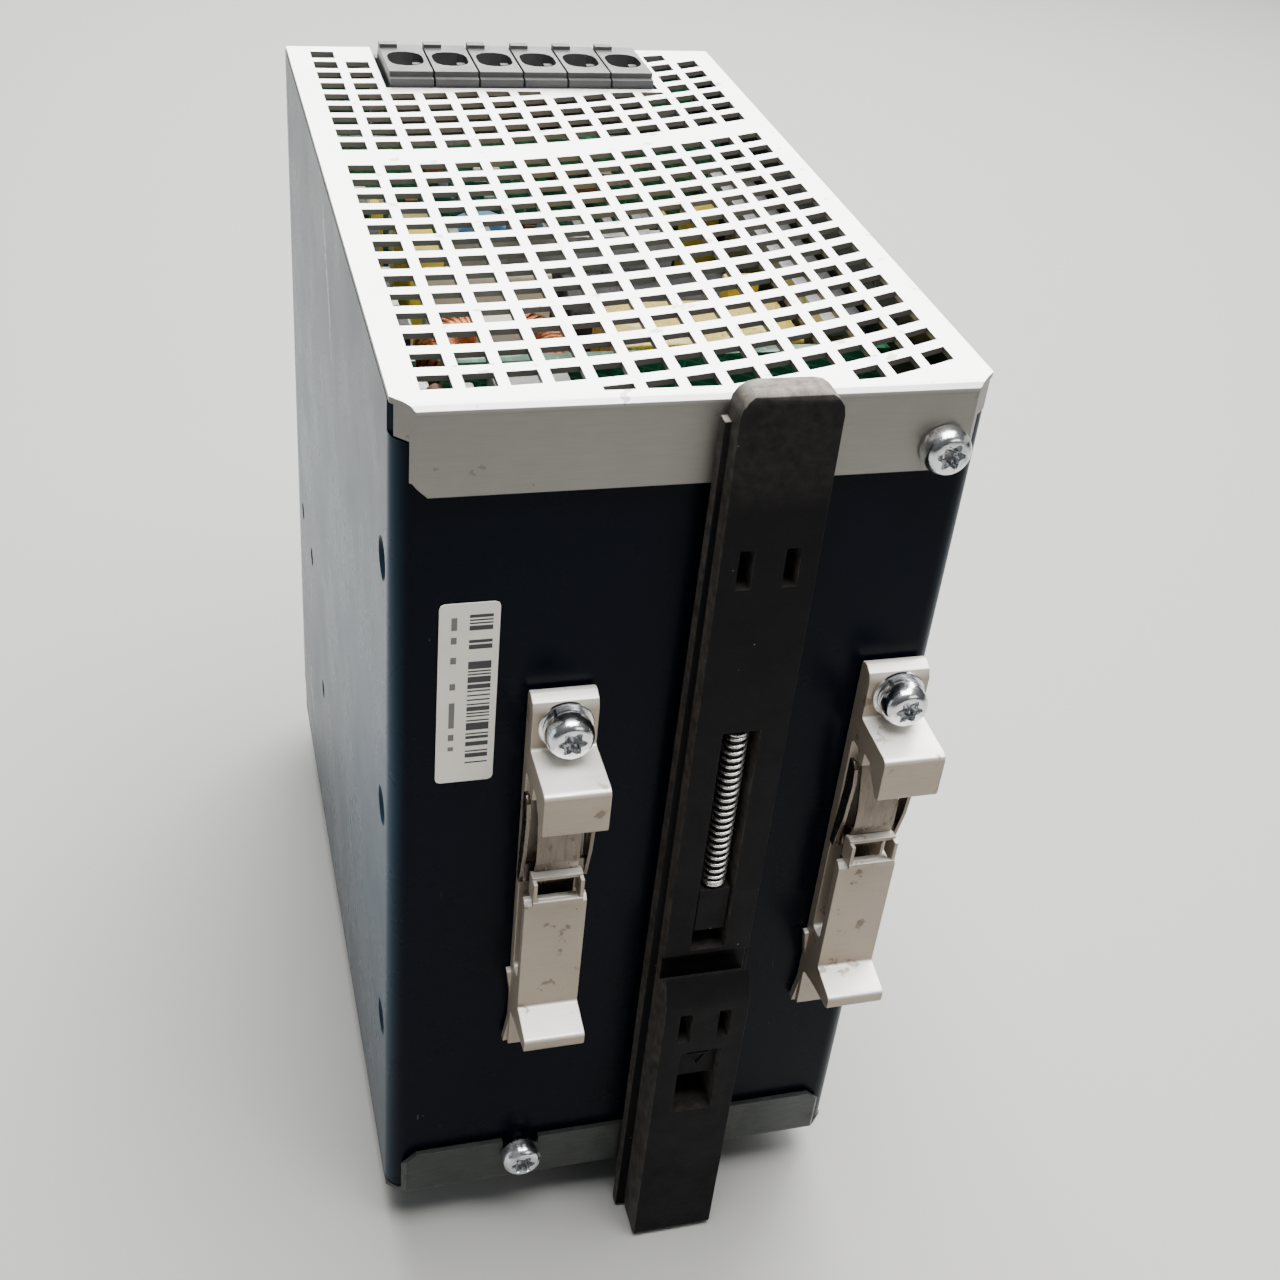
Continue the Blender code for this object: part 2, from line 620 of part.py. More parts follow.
def build_lever(name, x, pitch, up):
    """A clamp lever. Its origin is on its pivot, and its arm lies along the front of the pole."""
    way = 1 if up else -1
    hub, arm_end = 2.4, 15.6
    profile = [(-3.5, -arm_end), (-3.5, -1.2)]
    profile += arc((0, 0), hub, 158, -72, 6)
    profile += [(-0.7, -4.6), (-0.7, -arm_end)]
    profile = [(y, way * z) for y, z in profile]
    width = pitch - GAP - 2 * CHEEK - 2 * GAP
    end = CASE_HEIGHT + POLE_RISE if up else -POLE_RISE
    pivot = Vector((x, PIVOT_Y, end - way * PIVOT_DROP))
    lever = plate(name, profile, width, ALONG_X, pivot, "lever_plastic")
    across = width + 2 * CHEEK
    unite(lever, rod("join_pivot_" + name, 0.8, across, pivot, (0.0, math.pi / 2, 0.0), sides=8))
    # Thumb tab, wider than the arm, with a ribbed face
    tab = [(-3.2, -12.2), (-4.1, -12.9), (-3.6, -13.9), (-4.1, -14.9), (-3.7, -arm_end - 0.5)]
    tab += [(-0.9, -arm_end - 0.5), (-0.9, -12.2)]
    tab = [(y, way * z) for y, z in tab]
    unite(lever, plate("join_tab_" + name, tab, pitch - 0.5, ALONG_X, pivot))
    return lever


def build_terminals():
    for number in range(OUTPUT_POLES):
        x = OUTPUT_MIDDLE + ((OUTPUT_POLES - 1) / 2 - number) * OUTPUT_PITCH
        build_pole(f"output_pole_{number + 1}", x, OUTPUT_PITCH, True)
        build_lever(f"output_lever_{number + 1}", x, OUTPUT_PITCH, True)
    for number in range(INPUT_POLES):
        x = INPUT_MIDDLE + ((INPUT_POLES - 1) / 2 - number) * INPUT_PITCH
        build_pole(f"input_pole_{number + 1}", x, INPUT_PITCH, False)
        build_lever(f"input_lever_{number + 1}", x, INPUT_PITCH, False)


# Rail mount

def build_slider():
    """The release slider, its origin on its own centre line at the rail's height."""
    profile = rounded([
        (SLIDER_BACK, SLIDER_BOTTOM, 0), (SLIDER_BACK, SLIDER_TOP, 0), (SLIDER_FACE, SLIDER_TOP, 1.2),
        (SLIDER_FACE, SLOT_BOTTOM - 0.7, 0), (4.5, SLOT_BOTTOM - 1.4, 0), (4.5, JAW_FLOOR, 0),
        (JAW_INSIDE, JAW_FLOOR, 0),
        (JAW_INSIDE, JAW_TOP, 0), (SLIDER_LOW_FACE, 40.3, 0), (SLIDER_LOW_FACE, SLIDER_BOTTOM, 0.8),
    ])
    slider = plate("release_slider", profile, SLIDER_WIDTH, ALONG_X, (SLIDER_X, 0, 0), "black_plastic")
    # Its base spreads a little towards the lower end
    skirt = [(-6.4, SLIDER_TOP - 4), (-7.0, 42.0), (-7.0, SLIDER_BOTTOM + 0.2), (7.0, SLIDER_BOTTOM + 0.2)]
    skirt += [(7.0, 42.0), (6.4, SLIDER_TOP - 4)]
    unite(slider, plate("join_skirt", skirt, 1.6, ALONG_Y, (SLIDER_X, SLIDER_BACK + 0.8, 0)))
    half, corner = SLIDER_WIDTH / 2, 2.6
    for tag, side in (("left", 1), ("right", -1)):
        edge = SLIDER_X + side * half
        outside = [(edge + side, SLIDER_TOP + 1), (edge + side, SLIDER_TOP - corner)]
        quarter = arc((edge - side * corner, SLIDER_TOP - corner), corner, 0 if side > 0 else 180, 90, 4)
        outside += quarter + [(edge - side * corner, SLIDER_TOP + 1)]
        cut(slider, plate(f"cut_slider_corner_{tag}", outside, 12, ALONG_Y, (0, 4, 0)))
    # Slot for the spring and the lug
    slot_low = (SLIDER_X - SLOT_WIDTH / 2, 0, SLOT_BOTTOM)
    slot_high = (SLIDER_X + SLOT_WIDTH / 2, 7, SLOT_TOP)
    cut(slider, block("cut_spring_slot", slot_low, slot_high))
    # Pocket for a screwdriver, with a shallow panel for the arrow above it
    pocket = [(10.0, 31.3), (7.6, 31.3), (7.6, 25.7), (3.2, 25.7), (3.2, 19.3), (10.0, 19.3)]
    cut(slider, plate("cut_slider_pocket", pocket, 5.5, ALONG_X, (SLIDER_X, 0, 0)))
    # Windows over the hooks
    windows = []
    for side in (-1, 1):
        x = side * HOOK_SPACING / 2
        windows.append(((x - 0.85, 4.6, 33.4), (x + 0.85, 10, 38.6)))
        windows.append(((x - 0.85, 2.6, 102.5), (x + 0.85, 7, 107.5)))
    cut(slider, blocks("cut_slider_windows", windows, at=(SLIDER_X, 0, 0)))
    # Snap hooks that reach through the rear wall
    beak, wall_back = 0.9, -WALL - GAP
    for number, (low, high) in enumerate(HOOKS_AT):
        for tag, side in (("left", 1), ("right", -1)):
            leg, out = HOOK_LEG / 2, HOOK_LEG / 2 + beak
            x = side * HOOK_SPACING / 2
            hook = [
                (x - side * leg, 2.2), (x - side * leg, wall_back - 1.2), (x + side * leg, wall_back - 1.2),
                (x + side * out, wall_back - 0.4), (x + side * out, wall_back), (x + side * leg, wall_back),
                (x + side * leg, 2.2),
            ]
            middle = (SLIDER_X, 0, (low + high) / 2)
            unite(slider, plate(f"join_hook_{number}_{tag}", hook, high - low, ALONG_Z, middle))
    # Peg inside the spring's upper end
    unite(slider, rod("join_spring_peg", 0.7, 2.4, (SLIDER_X, 3.5, SLOT_TOP - 0.9), ALONG_Z, sides=10))
    return slider


def build_lug():
    """The block fixed to the rear wall, which the spring stands on."""
    half = SLOT_WIDTH / 2 - GAP
    lug = block(
        "guide_lug", (SLIDER_X - half, GAP, LUG_BOTTOM), (SLIDER_X + half, 4.9, LUG_TOP), "black_plastic"
    )
    middle = (LUG_BOTTOM + LUG_TOP) / 2
    unite(lug, rod("join_lug_pin", 1.5, 4.2, (SLIDER_X, -0.5, middle), OUT_OF_WALL, sides=14))
    unite(lug, rod("join_lug_peg", 0.7, 2.6, (SLIDER_X, 3.5, LUG_TOP + 0.8), ALONG_Z, sides=10))
    return lug


def build_spring():
    low, high = LUG_TOP + GAP, SLOT_TOP - GAP
    curve = bpy.data.curves.new("slider_spring", "CURVE")
    curve.dimensions = "3D"
    curve.bevel_depth = SPRING_WIRE / 2 * MM
    curve.bevel_resolution = 0
    curve.use_fill_caps = True
    steps = POINTS_PER_TURN * SPRING_TURNS
    spline = curve.splines.new("POLY")
    spline.points.add(steps)
    rise = high - low - SPRING_WIRE
    for i, point in enumerate(spline.points):
        share = i / steps
        turn = 2 * math.pi * SPRING_TURNS * share
        x, y = SPRING_RADIUS * math.cos(turn), SPRING_RADIUS * math.sin(turn)
        point.co = (x * MM, y * MM, (SPRING_WIRE / 2 + rise * share) * MM, 1.0)
    return place("slider_spring", curve, "spring_steel", (SLIDER_X, 3.5, low))


def bracket_profile():
    """Section of the extruded bracket, in y and z, from the top down the side that faces the rail."""
    top, rail_top = 87.8, RAIL_MIDDLE + RAIL_HEIGHT / 2
    plate_back = 1.9
    return rounded([
        (GAP, 30.0, 0), (GAP, top, 0.8), (BRACKET_PLATE, top, 1.6), (BRACKET_PLATE, 81.0, 0.4),
        (11.1, 80.7, 0.8), (11.1, 74.6, 0.5), (10.2, 74.6, 0.4), (7.3, rail_top - 0.1, 0),
        (7.3, rail_top + 0.3, 0), (RAIL_SEAT, rail_top + 0.3, 0), (RAIL_SEAT, 75.4, 0.3),
        (4.4, 75.4, 0), (3.8, 76.8, 0), (plate_back, 76.8, 0.6), (plate_back, 45.0, 0.6), (4.3, 45.0, 0.6),
        (4.3, 59.2, 0), (5.0, 59.2, 0), (RAIL_SEAT, 58.6, 0), (RAIL_SEAT, 41.0, 0.4),
        (10.3, 39.9, 0.6), (10.3, 37.9, 0.6), (5.2, 37.2, 0.5), (plate_back, 36.4, 0.6),
        (plate_back, 30.0, 0),
    ])


def build_bracket(tag, x):
    bracket = plate(
        f"bracket_{tag}", bracket_profile(), BRACKET_WIDTH, ALONG_X, (x, 0, 0), "bracket_aluminium"
    )
    # Waisted foot that steadies the bracket against the wall
    edge = x + BRACKET_WIDTH / 2
    foot = [(edge - 1, 43.0), (edge + 0.6, 43.0), (edge - 0.3, 36.5), (edge + 0.6, 30.0), (edge - 1, 30.0)]
    unite(bracket, plate(f"join_foot_{tag}", foot, 1.0, ALONG_Y, (0, GAP + 0.5, 0)))
    hole = (x, BRACKET_PLATE, BRACKET_SCREW_Z)
    cut(bracket, rod(f"cut_bracket_hole_{tag}", SCREW_HOLE, 12, hole, OUT_OF_WALL))
    return bracket


def build_clip(tag, x):
    """Sheet-steel spring in the bracket's pocket: a bowed leaf between two curled ears."""
    leaf = [(2.9, 46.2), (2.9, 60.0)]
    leaf += [(2.9 + 1.7 * math.sin(math.pi * (z - 60.0) / 13.0), z) for z in (62.6, 65.2, 67.8, 70.4)]
    leaf += [(3.1, 73.6)]
    half = BRACKET_WIDTH / 2 - 1.2
    clip = bent_sheet(
        f"bracket_clip_{tag}", [(-half, y, z) for y, z in leaf], 2 * half, (1, 0, 0), 0.4, "spring_steel",
        (x, 0, 0),
    )
    reach = BRACKET_WIDTH / 2 + 0.4
    strap = ((-reach, 2.75, 60.6), (reach, 3.25, 63.4))
    unite(clip, blocks(f"join_clip_strap_{tag}", [strap], at=(x, 0, 0)))
    ear = [(2.2, 60.6), (3.25, 60.6), (4.6, 66.0), (5.2, 72.0), (4.9, 74.4), (4.1, 75.1)]
    ear += [(3.0, 74.8), (3.1, 70.0)]
    for side in (-1, 1):
        middle = (x + side * (reach - 0.25), 0, 0)
        unite(clip, plate(f"join_clip_ear_{tag}_{side + 1}", ear, 0.5, ALONG_X, middle))
    return clip


def star(radius, depth, lobes=6):
    """Outline of a six-lobed socket."""
    count = 4 * lobes
    turns = [2 * math.pi * i / count for i in range(count)]
    waves = [radius - depth / 2 + depth / 2 * math.cos(lobes * turn) for turn in turns]
    return [(wave * math.cos(turn), wave * math.sin(turn)) for wave, turn in zip(waves, turns)]


def build_screw(name, x, seat, z, shank):
    """Pan-head screw whose head bears on a face at y = seat."""
    head, height = 2.75, 2.3
    profile = [
        (0, height), (1.9, height), (2.5, 1.9), (head, 1.2), (head, 0), (1.4, 0), (1.4, -shank), (0, -shank),
    ]
    screw = turned(name, profile, (x, seat, z), OUT_OF_WALL, "zinc_screw", 16)
    socket = plate("cut_socket_" + name, star(1.4, 0.5), 2.6, ALONG_Y, (x, seat + height, z))
    return cut(screw, socket)


def build_fasteners():
    washer = [(3.15, 0.7), (3.15, 0), (1.8, 0), (1.8, 0.7), (3.15, 0.7)]
    for tag, x in BRACKETS.items():
        seat = BRACKET_PLATE + GAP
        turned(f"bracket_washer_{tag}", washer, (x, seat, BRACKET_SCREW_Z), OUT_OF_WALL, "zinc_screw")
        build_screw(f"bracket_screw_{tag}", x, seat + 0.7 + GAP, BRACKET_SCREW_Z, 9.0)
    build_screw("cover_screw_top", TOP_SCREW[0], SHEET_BACK + GAP, TOP_SCREW[1], 7.0)
    build_screw("cover_screw_bottom", BOTTOM_SCREW[0], SHEET_BACK + GAP, BOTTOM_SCREW[1], 7.0)


def build_label():
    outline = rectangle((20.6, 74.8), (27.3, 99.8), 0.6)
    return plate("rating_label", outline, 0.15, ALONG_Y, (0, 0.175, 0), "label_paper")


# Inside the case

def build_boards():
    block("main_board", (27.4, -86.0, 8.0), (29.0, -3.0, 116.0), "circuit_board")
    block("rear_board", (-29.0, -21.6, 12.0), (24.0, -20.0, 117.8), "circuit_board")
    block("front_board", (-29.0, -90.1, 8.0), (29.0, -88.5, 118.0), "circuit_board")


def build_transformer():
    core = block("transformer_core", (-24.0, -46.0, 70.0), (0.0, -34.0, 112.0), "ferrite")
    windows = [((-20.5, -50, 75), (-15, -30, 107)), ((-9, -50, 75), (-3.5, -30, 107))]
    cut(core, blocks("cut_core_windows", windows))
    winding = block("transformer_winding", (-20.2, -49.0, 75.3), (-3.8, -31.0, 106.7), "yellow_tape")
    cut(winding, block("cut_centre_leg", (-15.3, -46.3, 60), (-8.7, -33.7, 120)))


def ring_profile(radius, thickness, height):
    inner, outer = radius - thickness / 2, radius + thickness / 2
    low, high = -height / 2, height / 2
    return [(outer, high), (outer, low), (inner, low), (inner, high), (outer, high)]


def build_choke():
    centre = (12.0, -47.5, 104.0)
    turned("choke_core", ring_profile(7.4, 5.0, 5.0), centre, ALONG_Z, "ferrite")
    winding = turned("choke_winding", ring_profile(7.4, 7.6, 7.6), centre, ALONG_Z, "copper_wire", 24)
    hollow = turned("cut_winding_hollow", ring_profile(7.4, 5.6, 5.6), centre, ALONG_Z, None)
    cut(winding, hollow)
    x, y, z = centre
    cut(winding, block("cut_winding_gap", (x - 2.5, y - 14, z - 6), (x + 2.5, y, z + 6)))


def build_capacitors():
    lying = (0.0, math.pi / 2, 0.0)
    for number, z in enumerate((101.0, 84.5), 1):
        can = rod(f"bulk_capacitor_{number}", 7.5, 27.0, (-12.6, -63.0, z), lying, "capacitor_sleeve", 20)
        soften(can, 0.8)
    for number, z in enumerate((84.0, 69.0), 1):
        can = rod(f"output_capacitor_{number}", 5.0, 24.0, (14.2, -63.0, z), lying, "capacitor_sleeve", 16)
        soften(can, 0.6)
    film = block("film_capacitor", (16.0, -80.0, 97.0), (21.0, -66.0, 110.0), "film_capacitor_case")
    soften(film, 0.6)
    disc = rod("safety_capacitor", 6.0, 3.6, (7.8, -84.0, 103.0), ALONG_Y, "blue_ceramic", 18)
    soften(disc, 1.0)


def build_heat_sinks():
    # Comb of fins standing off a base plate
    base_rear, base_front, fin_tip = -72.0, -74.0, -80.0
    outline = [(-18.0, base_rear), (14.0, base_rear)]
    fins = 7
    pitch, thick = 32.0 / fins, 1.4
    for fin in range(fins):
        right = 14.0 - fin * pitch
        outline += [(right, fin_tip), (right - thick, fin_tip)]
        if fin < fins - 1:
            outline += [(right - thick, base_front), (right - pitch, base_front)]
    outline += [(14.0 - (fins - 1) * pitch - thick, base_front), (-18.0, base_front)]
    plate("output_heat_sink", outline, 68.0, ALONG_Z, (0, 0, 76.0), "heat_sink_metal")
    # Plate on the right side wall, bent over at its top
    section = [(-30.6, 30.0), (-28.8, 30.0), (-28.8, 114.0), (-25.0, 114.0), (-25.0, 116.0), (-30.6, 116.0)]
    plate("side_heat_sink", section, 50.0, ALONG_Y, (0, -56.0, 0), "heat_sink_metal")


def build_output_choke():
    choke = block("output_choke", (-20.0, -70.0, 48.0), (-2.0, -52.0, 68.0), "ferrite")
    return soften(choke, 1.0)


def main():
    start_scene()
    make_materials()
    build_housing()
    build_top_cover()
    build_bottom_cover()
    build_front_panel()
    build_front_fittings()
    build_terminals()
    build_slider()
    build_lug()
    build_spring()
    for tag, x in BRACKETS.items():
        build_bracket(tag, x)
        build_clip(tag, x)
    build_fasteners()
    build_label()
    build_boards()
    build_transformer()
    build_choke()
    build_capacitors()
    build_heat_sinks()
    build_output_choke()


main()
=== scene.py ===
# DIN rail power supply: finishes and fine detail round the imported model.
# Places are written in millimetres from the case datum: x from the case's centre line,
# y from the outside of the rear wall (the front is at -y), z from the underside.
import json
import math
import random

import bmesh
import bpy
from mathutils import Matrix, Vector


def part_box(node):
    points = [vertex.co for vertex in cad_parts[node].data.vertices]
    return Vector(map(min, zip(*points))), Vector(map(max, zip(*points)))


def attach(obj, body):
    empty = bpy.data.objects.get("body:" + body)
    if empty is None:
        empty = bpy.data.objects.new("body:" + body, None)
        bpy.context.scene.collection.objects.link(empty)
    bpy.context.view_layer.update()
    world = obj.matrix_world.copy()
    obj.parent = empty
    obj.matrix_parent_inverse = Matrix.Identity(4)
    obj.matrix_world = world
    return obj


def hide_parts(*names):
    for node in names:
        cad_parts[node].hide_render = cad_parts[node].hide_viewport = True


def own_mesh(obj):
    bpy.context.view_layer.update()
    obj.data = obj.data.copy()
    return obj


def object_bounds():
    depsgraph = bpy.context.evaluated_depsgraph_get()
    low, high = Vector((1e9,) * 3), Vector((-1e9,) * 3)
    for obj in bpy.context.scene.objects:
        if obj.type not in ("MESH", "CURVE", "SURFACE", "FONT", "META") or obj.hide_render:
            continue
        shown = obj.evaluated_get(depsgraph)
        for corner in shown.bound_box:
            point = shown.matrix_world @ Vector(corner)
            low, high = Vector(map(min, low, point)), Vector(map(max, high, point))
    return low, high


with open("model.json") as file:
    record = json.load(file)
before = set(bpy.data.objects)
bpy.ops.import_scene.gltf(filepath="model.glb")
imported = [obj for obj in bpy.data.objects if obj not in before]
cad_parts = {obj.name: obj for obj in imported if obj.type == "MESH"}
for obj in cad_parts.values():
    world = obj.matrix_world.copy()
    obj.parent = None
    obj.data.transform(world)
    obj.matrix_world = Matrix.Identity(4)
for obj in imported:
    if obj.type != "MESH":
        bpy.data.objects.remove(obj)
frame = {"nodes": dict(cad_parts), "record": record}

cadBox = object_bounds()
record = frame["record"]
caseDatum = Vector((0.0, -5.6, -59.7))  # the datum in the frame's own millimetres
toFrameMatrix = Matrix.Scale(0.001, 4) @ Matrix.Translation(caseDatum)
bodyOf = {node: body for body, members in record["behaviour"]["bodies"].items() for node in members}
print("frame loaded")


def toFrame(point):
    return toFrameMatrix @ Vector(point)


def caseBox(node):  # a node's corners in case millimetres
    low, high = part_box(node)
    return low * 1000 - caseDatum, high * 1000 - caseDatum


# Camera, lights and floor

cameraSetup = {
    "place": (53.19, 145.65, 202.96),
    "azimuth": 161.51,
    "elevation": 35.63,
    "roll": 6.39,
    "lens": 47.44,
}

panels = {
    # name: place, aimed at, width, height, power, colour
    "frontPanel": ((-190, -660, 540), (0, -60, 124), 900, 560, 19.0, (1.0, 0.995, 0.98)),
    "skyPanel": ((-60, -10, 620), (0, -20, 90), 520, 420, 11.0, (1.0, 0.99, 0.97)),
    "sidePanel": ((620, -120, 160), (30, -50, 70), 420, 300, 0.5, (0.75, 0.88, 1.0)),
    "backPanel": ((-300, 460, 330), (0, 0, 60), 260, 200, 0.4, (1.0, 0.97, 0.92)),
}

floorLook = {"drop": 0.4, "reach": 1500, "colour": (0.38, 0.38, 0.372, 1), "roughness": 0.75}


def addCamera(setup):
    azimuth, elevation, roll = (
        math.radians(setup[key]) for key in ("azimuth", "elevation", "roll")
    )
    back = Vector((
        math.sin(azimuth) * math.cos(elevation),
        -math.cos(azimuth) * math.cos(elevation),
        math.sin(elevation),
    ))
    across = Vector((0, 0, 1)).cross(back).normalized()
    up = back.cross(across)
    right = math.cos(roll) * across + math.sin(roll) * up
    above = -math.sin(roll) * across + math.cos(roll) * up
    camera = bpy.data.objects.new("camera", bpy.data.cameras.new("camera"))
    bpy.context.scene.collection.objects.link(camera)
    turn = Matrix((right, above, back)).transposed().to_4x4()
    camera.matrix_world = Matrix.Translation(toFrame(setup["place"])) @ turn
    camera.data.lens = setup["lens"]
    camera.data.sensor_width = 36.0
    camera.data.clip_start = 0.005
    bpy.context.scene.camera = camera


def addLights():
    for name, (place, aim, width, height, power, colour) in panels.items():
        lamp = bpy.data.lights.new(name, "AREA")
        lamp.shape = "RECTANGLE"
        lamp.size, lamp.size_y = width / 1000, height / 1000
        lamp.energy = power
        lamp.color = colour
        holder = bpy.data.objects.new(name, lamp)
        bpy.context.scene.collection.objects.link(holder)
        holder.location = toFrame(place)
        holder.rotation_euler = (toFrame(aim) - toFrame(place)).to_track_quat("-Z", "Y").to_euler()


def addSurround():
    world = bpy.data.worlds.new("studio")
    bpy.context.scene.world = world
    world.use_nodes = True
    tree = world.node_tree
    tree.nodes.clear()
    coords = tree.nodes.new("ShaderNodeTexCoord")
    split = tree.nodes.new("ShaderNodeSeparateXYZ")
    ramp = tree.nodes.new("ShaderNodeValToRGB")
    glow = tree.nodes.new("ShaderNodeBackground")
    output = tree.nodes.new("ShaderNodeOutputWorld")
    ramp.color_ramp.elements[0].color = (0.30, 0.31, 0.32, 1)
    ramp.color_ramp.elements[1].position = 0.8
    ramp.color_ramp.elements[1].color = (0.9, 0.92, 0.95, 1)
    tree.links.new(coords.outputs["Generated"], split.inputs[0])
    tree.links.new(split.outputs["Z"], ramp.inputs[0])
    tree.links.new(ramp.outputs[0], glow.inputs["Color"])
    tree.links.new(glow.outputs[0], output.inputs[0])
    glow.inputs["Strength"].default_value = 0.2


addCamera(cameraSetup)
addLights()
addSurround()
print("camera and lights set")


# Nodes and shared effects

def addNode(tree, kind, settings=None, sockets=None):
    made = tree.nodes.new("ShaderNode" + kind)
    for name, value in (settings or {}).items():
        setattr(made, name, value)
    for name, value in (sockets or {}).items():
        if isinstance(value, bpy.types.NodeSocket):
            tree.links.new(value, made.inputs[name])
        else:
            made.inputs[name].default_value = value
    return made


def maths(tree, operation, first, second=0.0, clamp=False):
    settings = {"operation": operation, "use_clamp": clamp}
    return addNode(tree, "Math", settings, {0: first, 1: second}).outputs[0]


def times(tree, first, second):
    return maths(tree, "MULTIPLY", first, second)


def spread(tree, value, low, high, outLow=0.0, outHigh=1.0):
    sockets = {"Value": value, "From Min": low, "From Max": high, "To Min": outLow, "To Max": outHigh}
    return addNode(tree, "MapRange", None, sockets).outputs[0]


def mixColours(tree, share, first, second, mode="MIX"):
    settings = {"data_type": "RGBA", "blend_type": mode}
    return addNode(tree, "Mix", settings, {0: share, 6: first, 7: second}).outputs[2]


def opaque(colour):
    return (*colour, 1.0)


def startGroup(name, inputs, output):
    tree = bpy.data.node_groups.new(name, "ShaderNodeTree")
    for label, kind, value in inputs:
        socket = tree.interface.new_socket(name=label, in_out="INPUT", socket_type="NodeSocket" + kind)
        if value is not None:
            socket.default_value = value
    tree.interface.new_socket(name=output, in_out="OUTPUT", socket_type="NodeSocketFloat")
    return tree, tree.nodes.new("NodeGroupInput").outputs, tree.nodes.new("NodeGroupOutput").inputs


def buildMottle():  # soft cloudy variation
    tree, given, out = startGroup("mottle", [
        ("Position", "Vector", None), ("Size", "Float", 5.0), ("Contrast", "Float", 1.0),
    ], "Value")
    scale = maths(tree, "DIVIDE", 1.0, given["Size"])
    noise = addNode(tree, "TexNoise", None, {
        "Vector": given["Position"], "Scale": scale, "Detail": 4.0, "Roughness": 0.6,
    }).outputs[0]
    centred = times(tree, maths(tree, "SUBTRACT", noise, 0.5), given["Contrast"])
    tree.links.new(maths(tree, "ADD", centred, 0.5, True), out[0])


def buildBrushing():  # fine lines that run along one direction
    tree, given, out = startGroup("brushing", [
        ("Position", "Vector", None), ("Stretch", "Vector", (0.03, 1.0, 1.0)),
        ("Line", "Float", 0.12),
    ], "Value")
    drawn = addNode(tree, "VectorMath", {"operation": "MULTIPLY"}, {
        0: given["Position"], 1: given["Stretch"],
    }).outputs[0]
    noise = addNode(tree, "TexNoise", None, {
        "Vector": drawn, "Scale": maths(tree, "DIVIDE", 1.0, given["Line"]),
        "Detail": 3.0, "Roughness": 0.7,
    }).outputs[0]
    tree.links.new(spread(tree, noise, 0.3, 0.7), out[0])


def buildSpecks():  # scattered dust or pits
    tree, given, out = startGroup("specks", [
        ("Position", "Vector", None), ("Spacing", "Float", 2.0), ("Share", "Float", 0.2),
        ("Radius", "Float", 0.06),
    ], "Mask")
    cells = addNode(tree, "TexVoronoi", None, {
        "Vector": given["Position"], "Scale": maths(tree, "DIVIDE", 1.0, given["Spacing"]),
        "Randomness": 1.0,
    })
    pick = addNode(tree, "SeparateColor", None, {0: cells.outputs["Color"]}).outputs
    away = times(tree, cells.outputs["Distance"], given["Spacing"])
    radius = times(tree, given["Radius"], maths(tree, "ADD", pick[1], 0.4))
    dot = spread(tree, away, radius, times(tree, radius, 0.5))
    chosen = maths(tree, "LESS_THAN", pick[0], given["Share"])
    tree.links.new(times(tree, dot, chosen), out[0])


def buildScratches():  # thin broken lines
    tree, given, out = startGroup("scratches", [
        ("Position", "Vector", None), ("Stretch", "Vector", (1.0, 0.2, 0.06)),
        ("Width", "Float", 0.01), ("Share", "Float", 0.3),
    ], "Mask")
    drawn = addNode(tree, "VectorMath", {"operation": "MULTIPLY"}, {
        0: given["Position"], 1: given["Stretch"],
    }).outputs[0]
    lines = addNode(tree, "TexNoise", None, {"Vector": drawn, "Scale": 0.7, "Detail": 1.0}).outputs[0]
    near = maths(tree, "ABSOLUTE", maths(tree, "SUBTRACT", lines, 0.5))
    thin = spread(tree, near, given["Width"], 0.0)
    patches = addNode(tree, "TexNoise", None, {
        "Vector": given["Position"], "Scale": 0.16, "Detail": 5.0, "Roughness": 0.75,
    }).outputs[0]
    limit = maths(tree, "SUBTRACT", 1.0, given["Share"])
    there = spread(tree, patches, limit, maths(tree, "ADD", limit, 0.05))
    tree.links.new(times(tree, thin, there), out[0])


def buildEdgeWear():  # outer and inner edges, broken up
    tree, given, out = startGroup("edgeWear", [
        ("Position", "Vector", None), ("Radius", "Float", 0.25), ("Gain", "Float", 5.0),
        ("Breakup", "Float", 0.6),
    ], "Mask")
    rounded = addNode(tree, "Bevel", {"samples": 4}, {
        "Radius": times(tree, given["Radius"], 0.001),
    }).outputs[0]
    flat = addNode(tree, "NewGeometry").outputs["Normal"]
    agree = addNode(tree, "VectorMath", {"operation": "DOT_PRODUCT"}, {
        0: rounded, 1: flat,
    }).outputs["Value"]
    edge = maths(tree, "MULTIPLY", maths(tree, "SUBTRACT", 1.0, agree), given["Gain"], True)
    noise = addNode(tree, "TexNoise", None, {
        "Vector": given["Position"], "Scale": 1.3, "Detail": 4.0, "Roughness": 0.7,
    }).outputs[0]
    broken = spread(tree, noise, times(tree, given["Breakup"], 0.6), 0.65)
    tree.links.new(times(tree, edge, broken), out[0])


def buildFacing():  # how far a surface faces one way
    tree, given, out = startGroup("facing", [
        ("Direction", "Vector", (0, 0, 1)), ("Sharpness", "Float", 1.0),
    ], "Mask")
    normal = addNode(tree, "TexCoord").outputs["Normal"]
    along = addNode(tree, "VectorMath", {"operation": "DOT_PRODUCT"}, {
        0: normal, 1: given["Direction"],
    }).outputs["Value"]
    towards = maths(tree, "MAXIMUM", along, 0.0)
    tree.links.new(maths(tree, "POWER", towards, given["Sharpness"]), out[0])


for build in (buildMottle, buildBrushing, buildSpecks, buildScratches, buildEdgeWear, buildFacing):
    build()
print("shared effects built")


def place(tree, group, **sockets):
    made = tree.nodes.new("ShaderNodeGroup")
    made.node_tree = bpy.data.node_groups[group]
    for name, value in sockets.items():
        if isinstance(value, bpy.types.NodeSocket):
            tree.links.new(value, made.inputs[name])
        else:
            made.inputs[name].default_value = value
    return made.outputs[0]


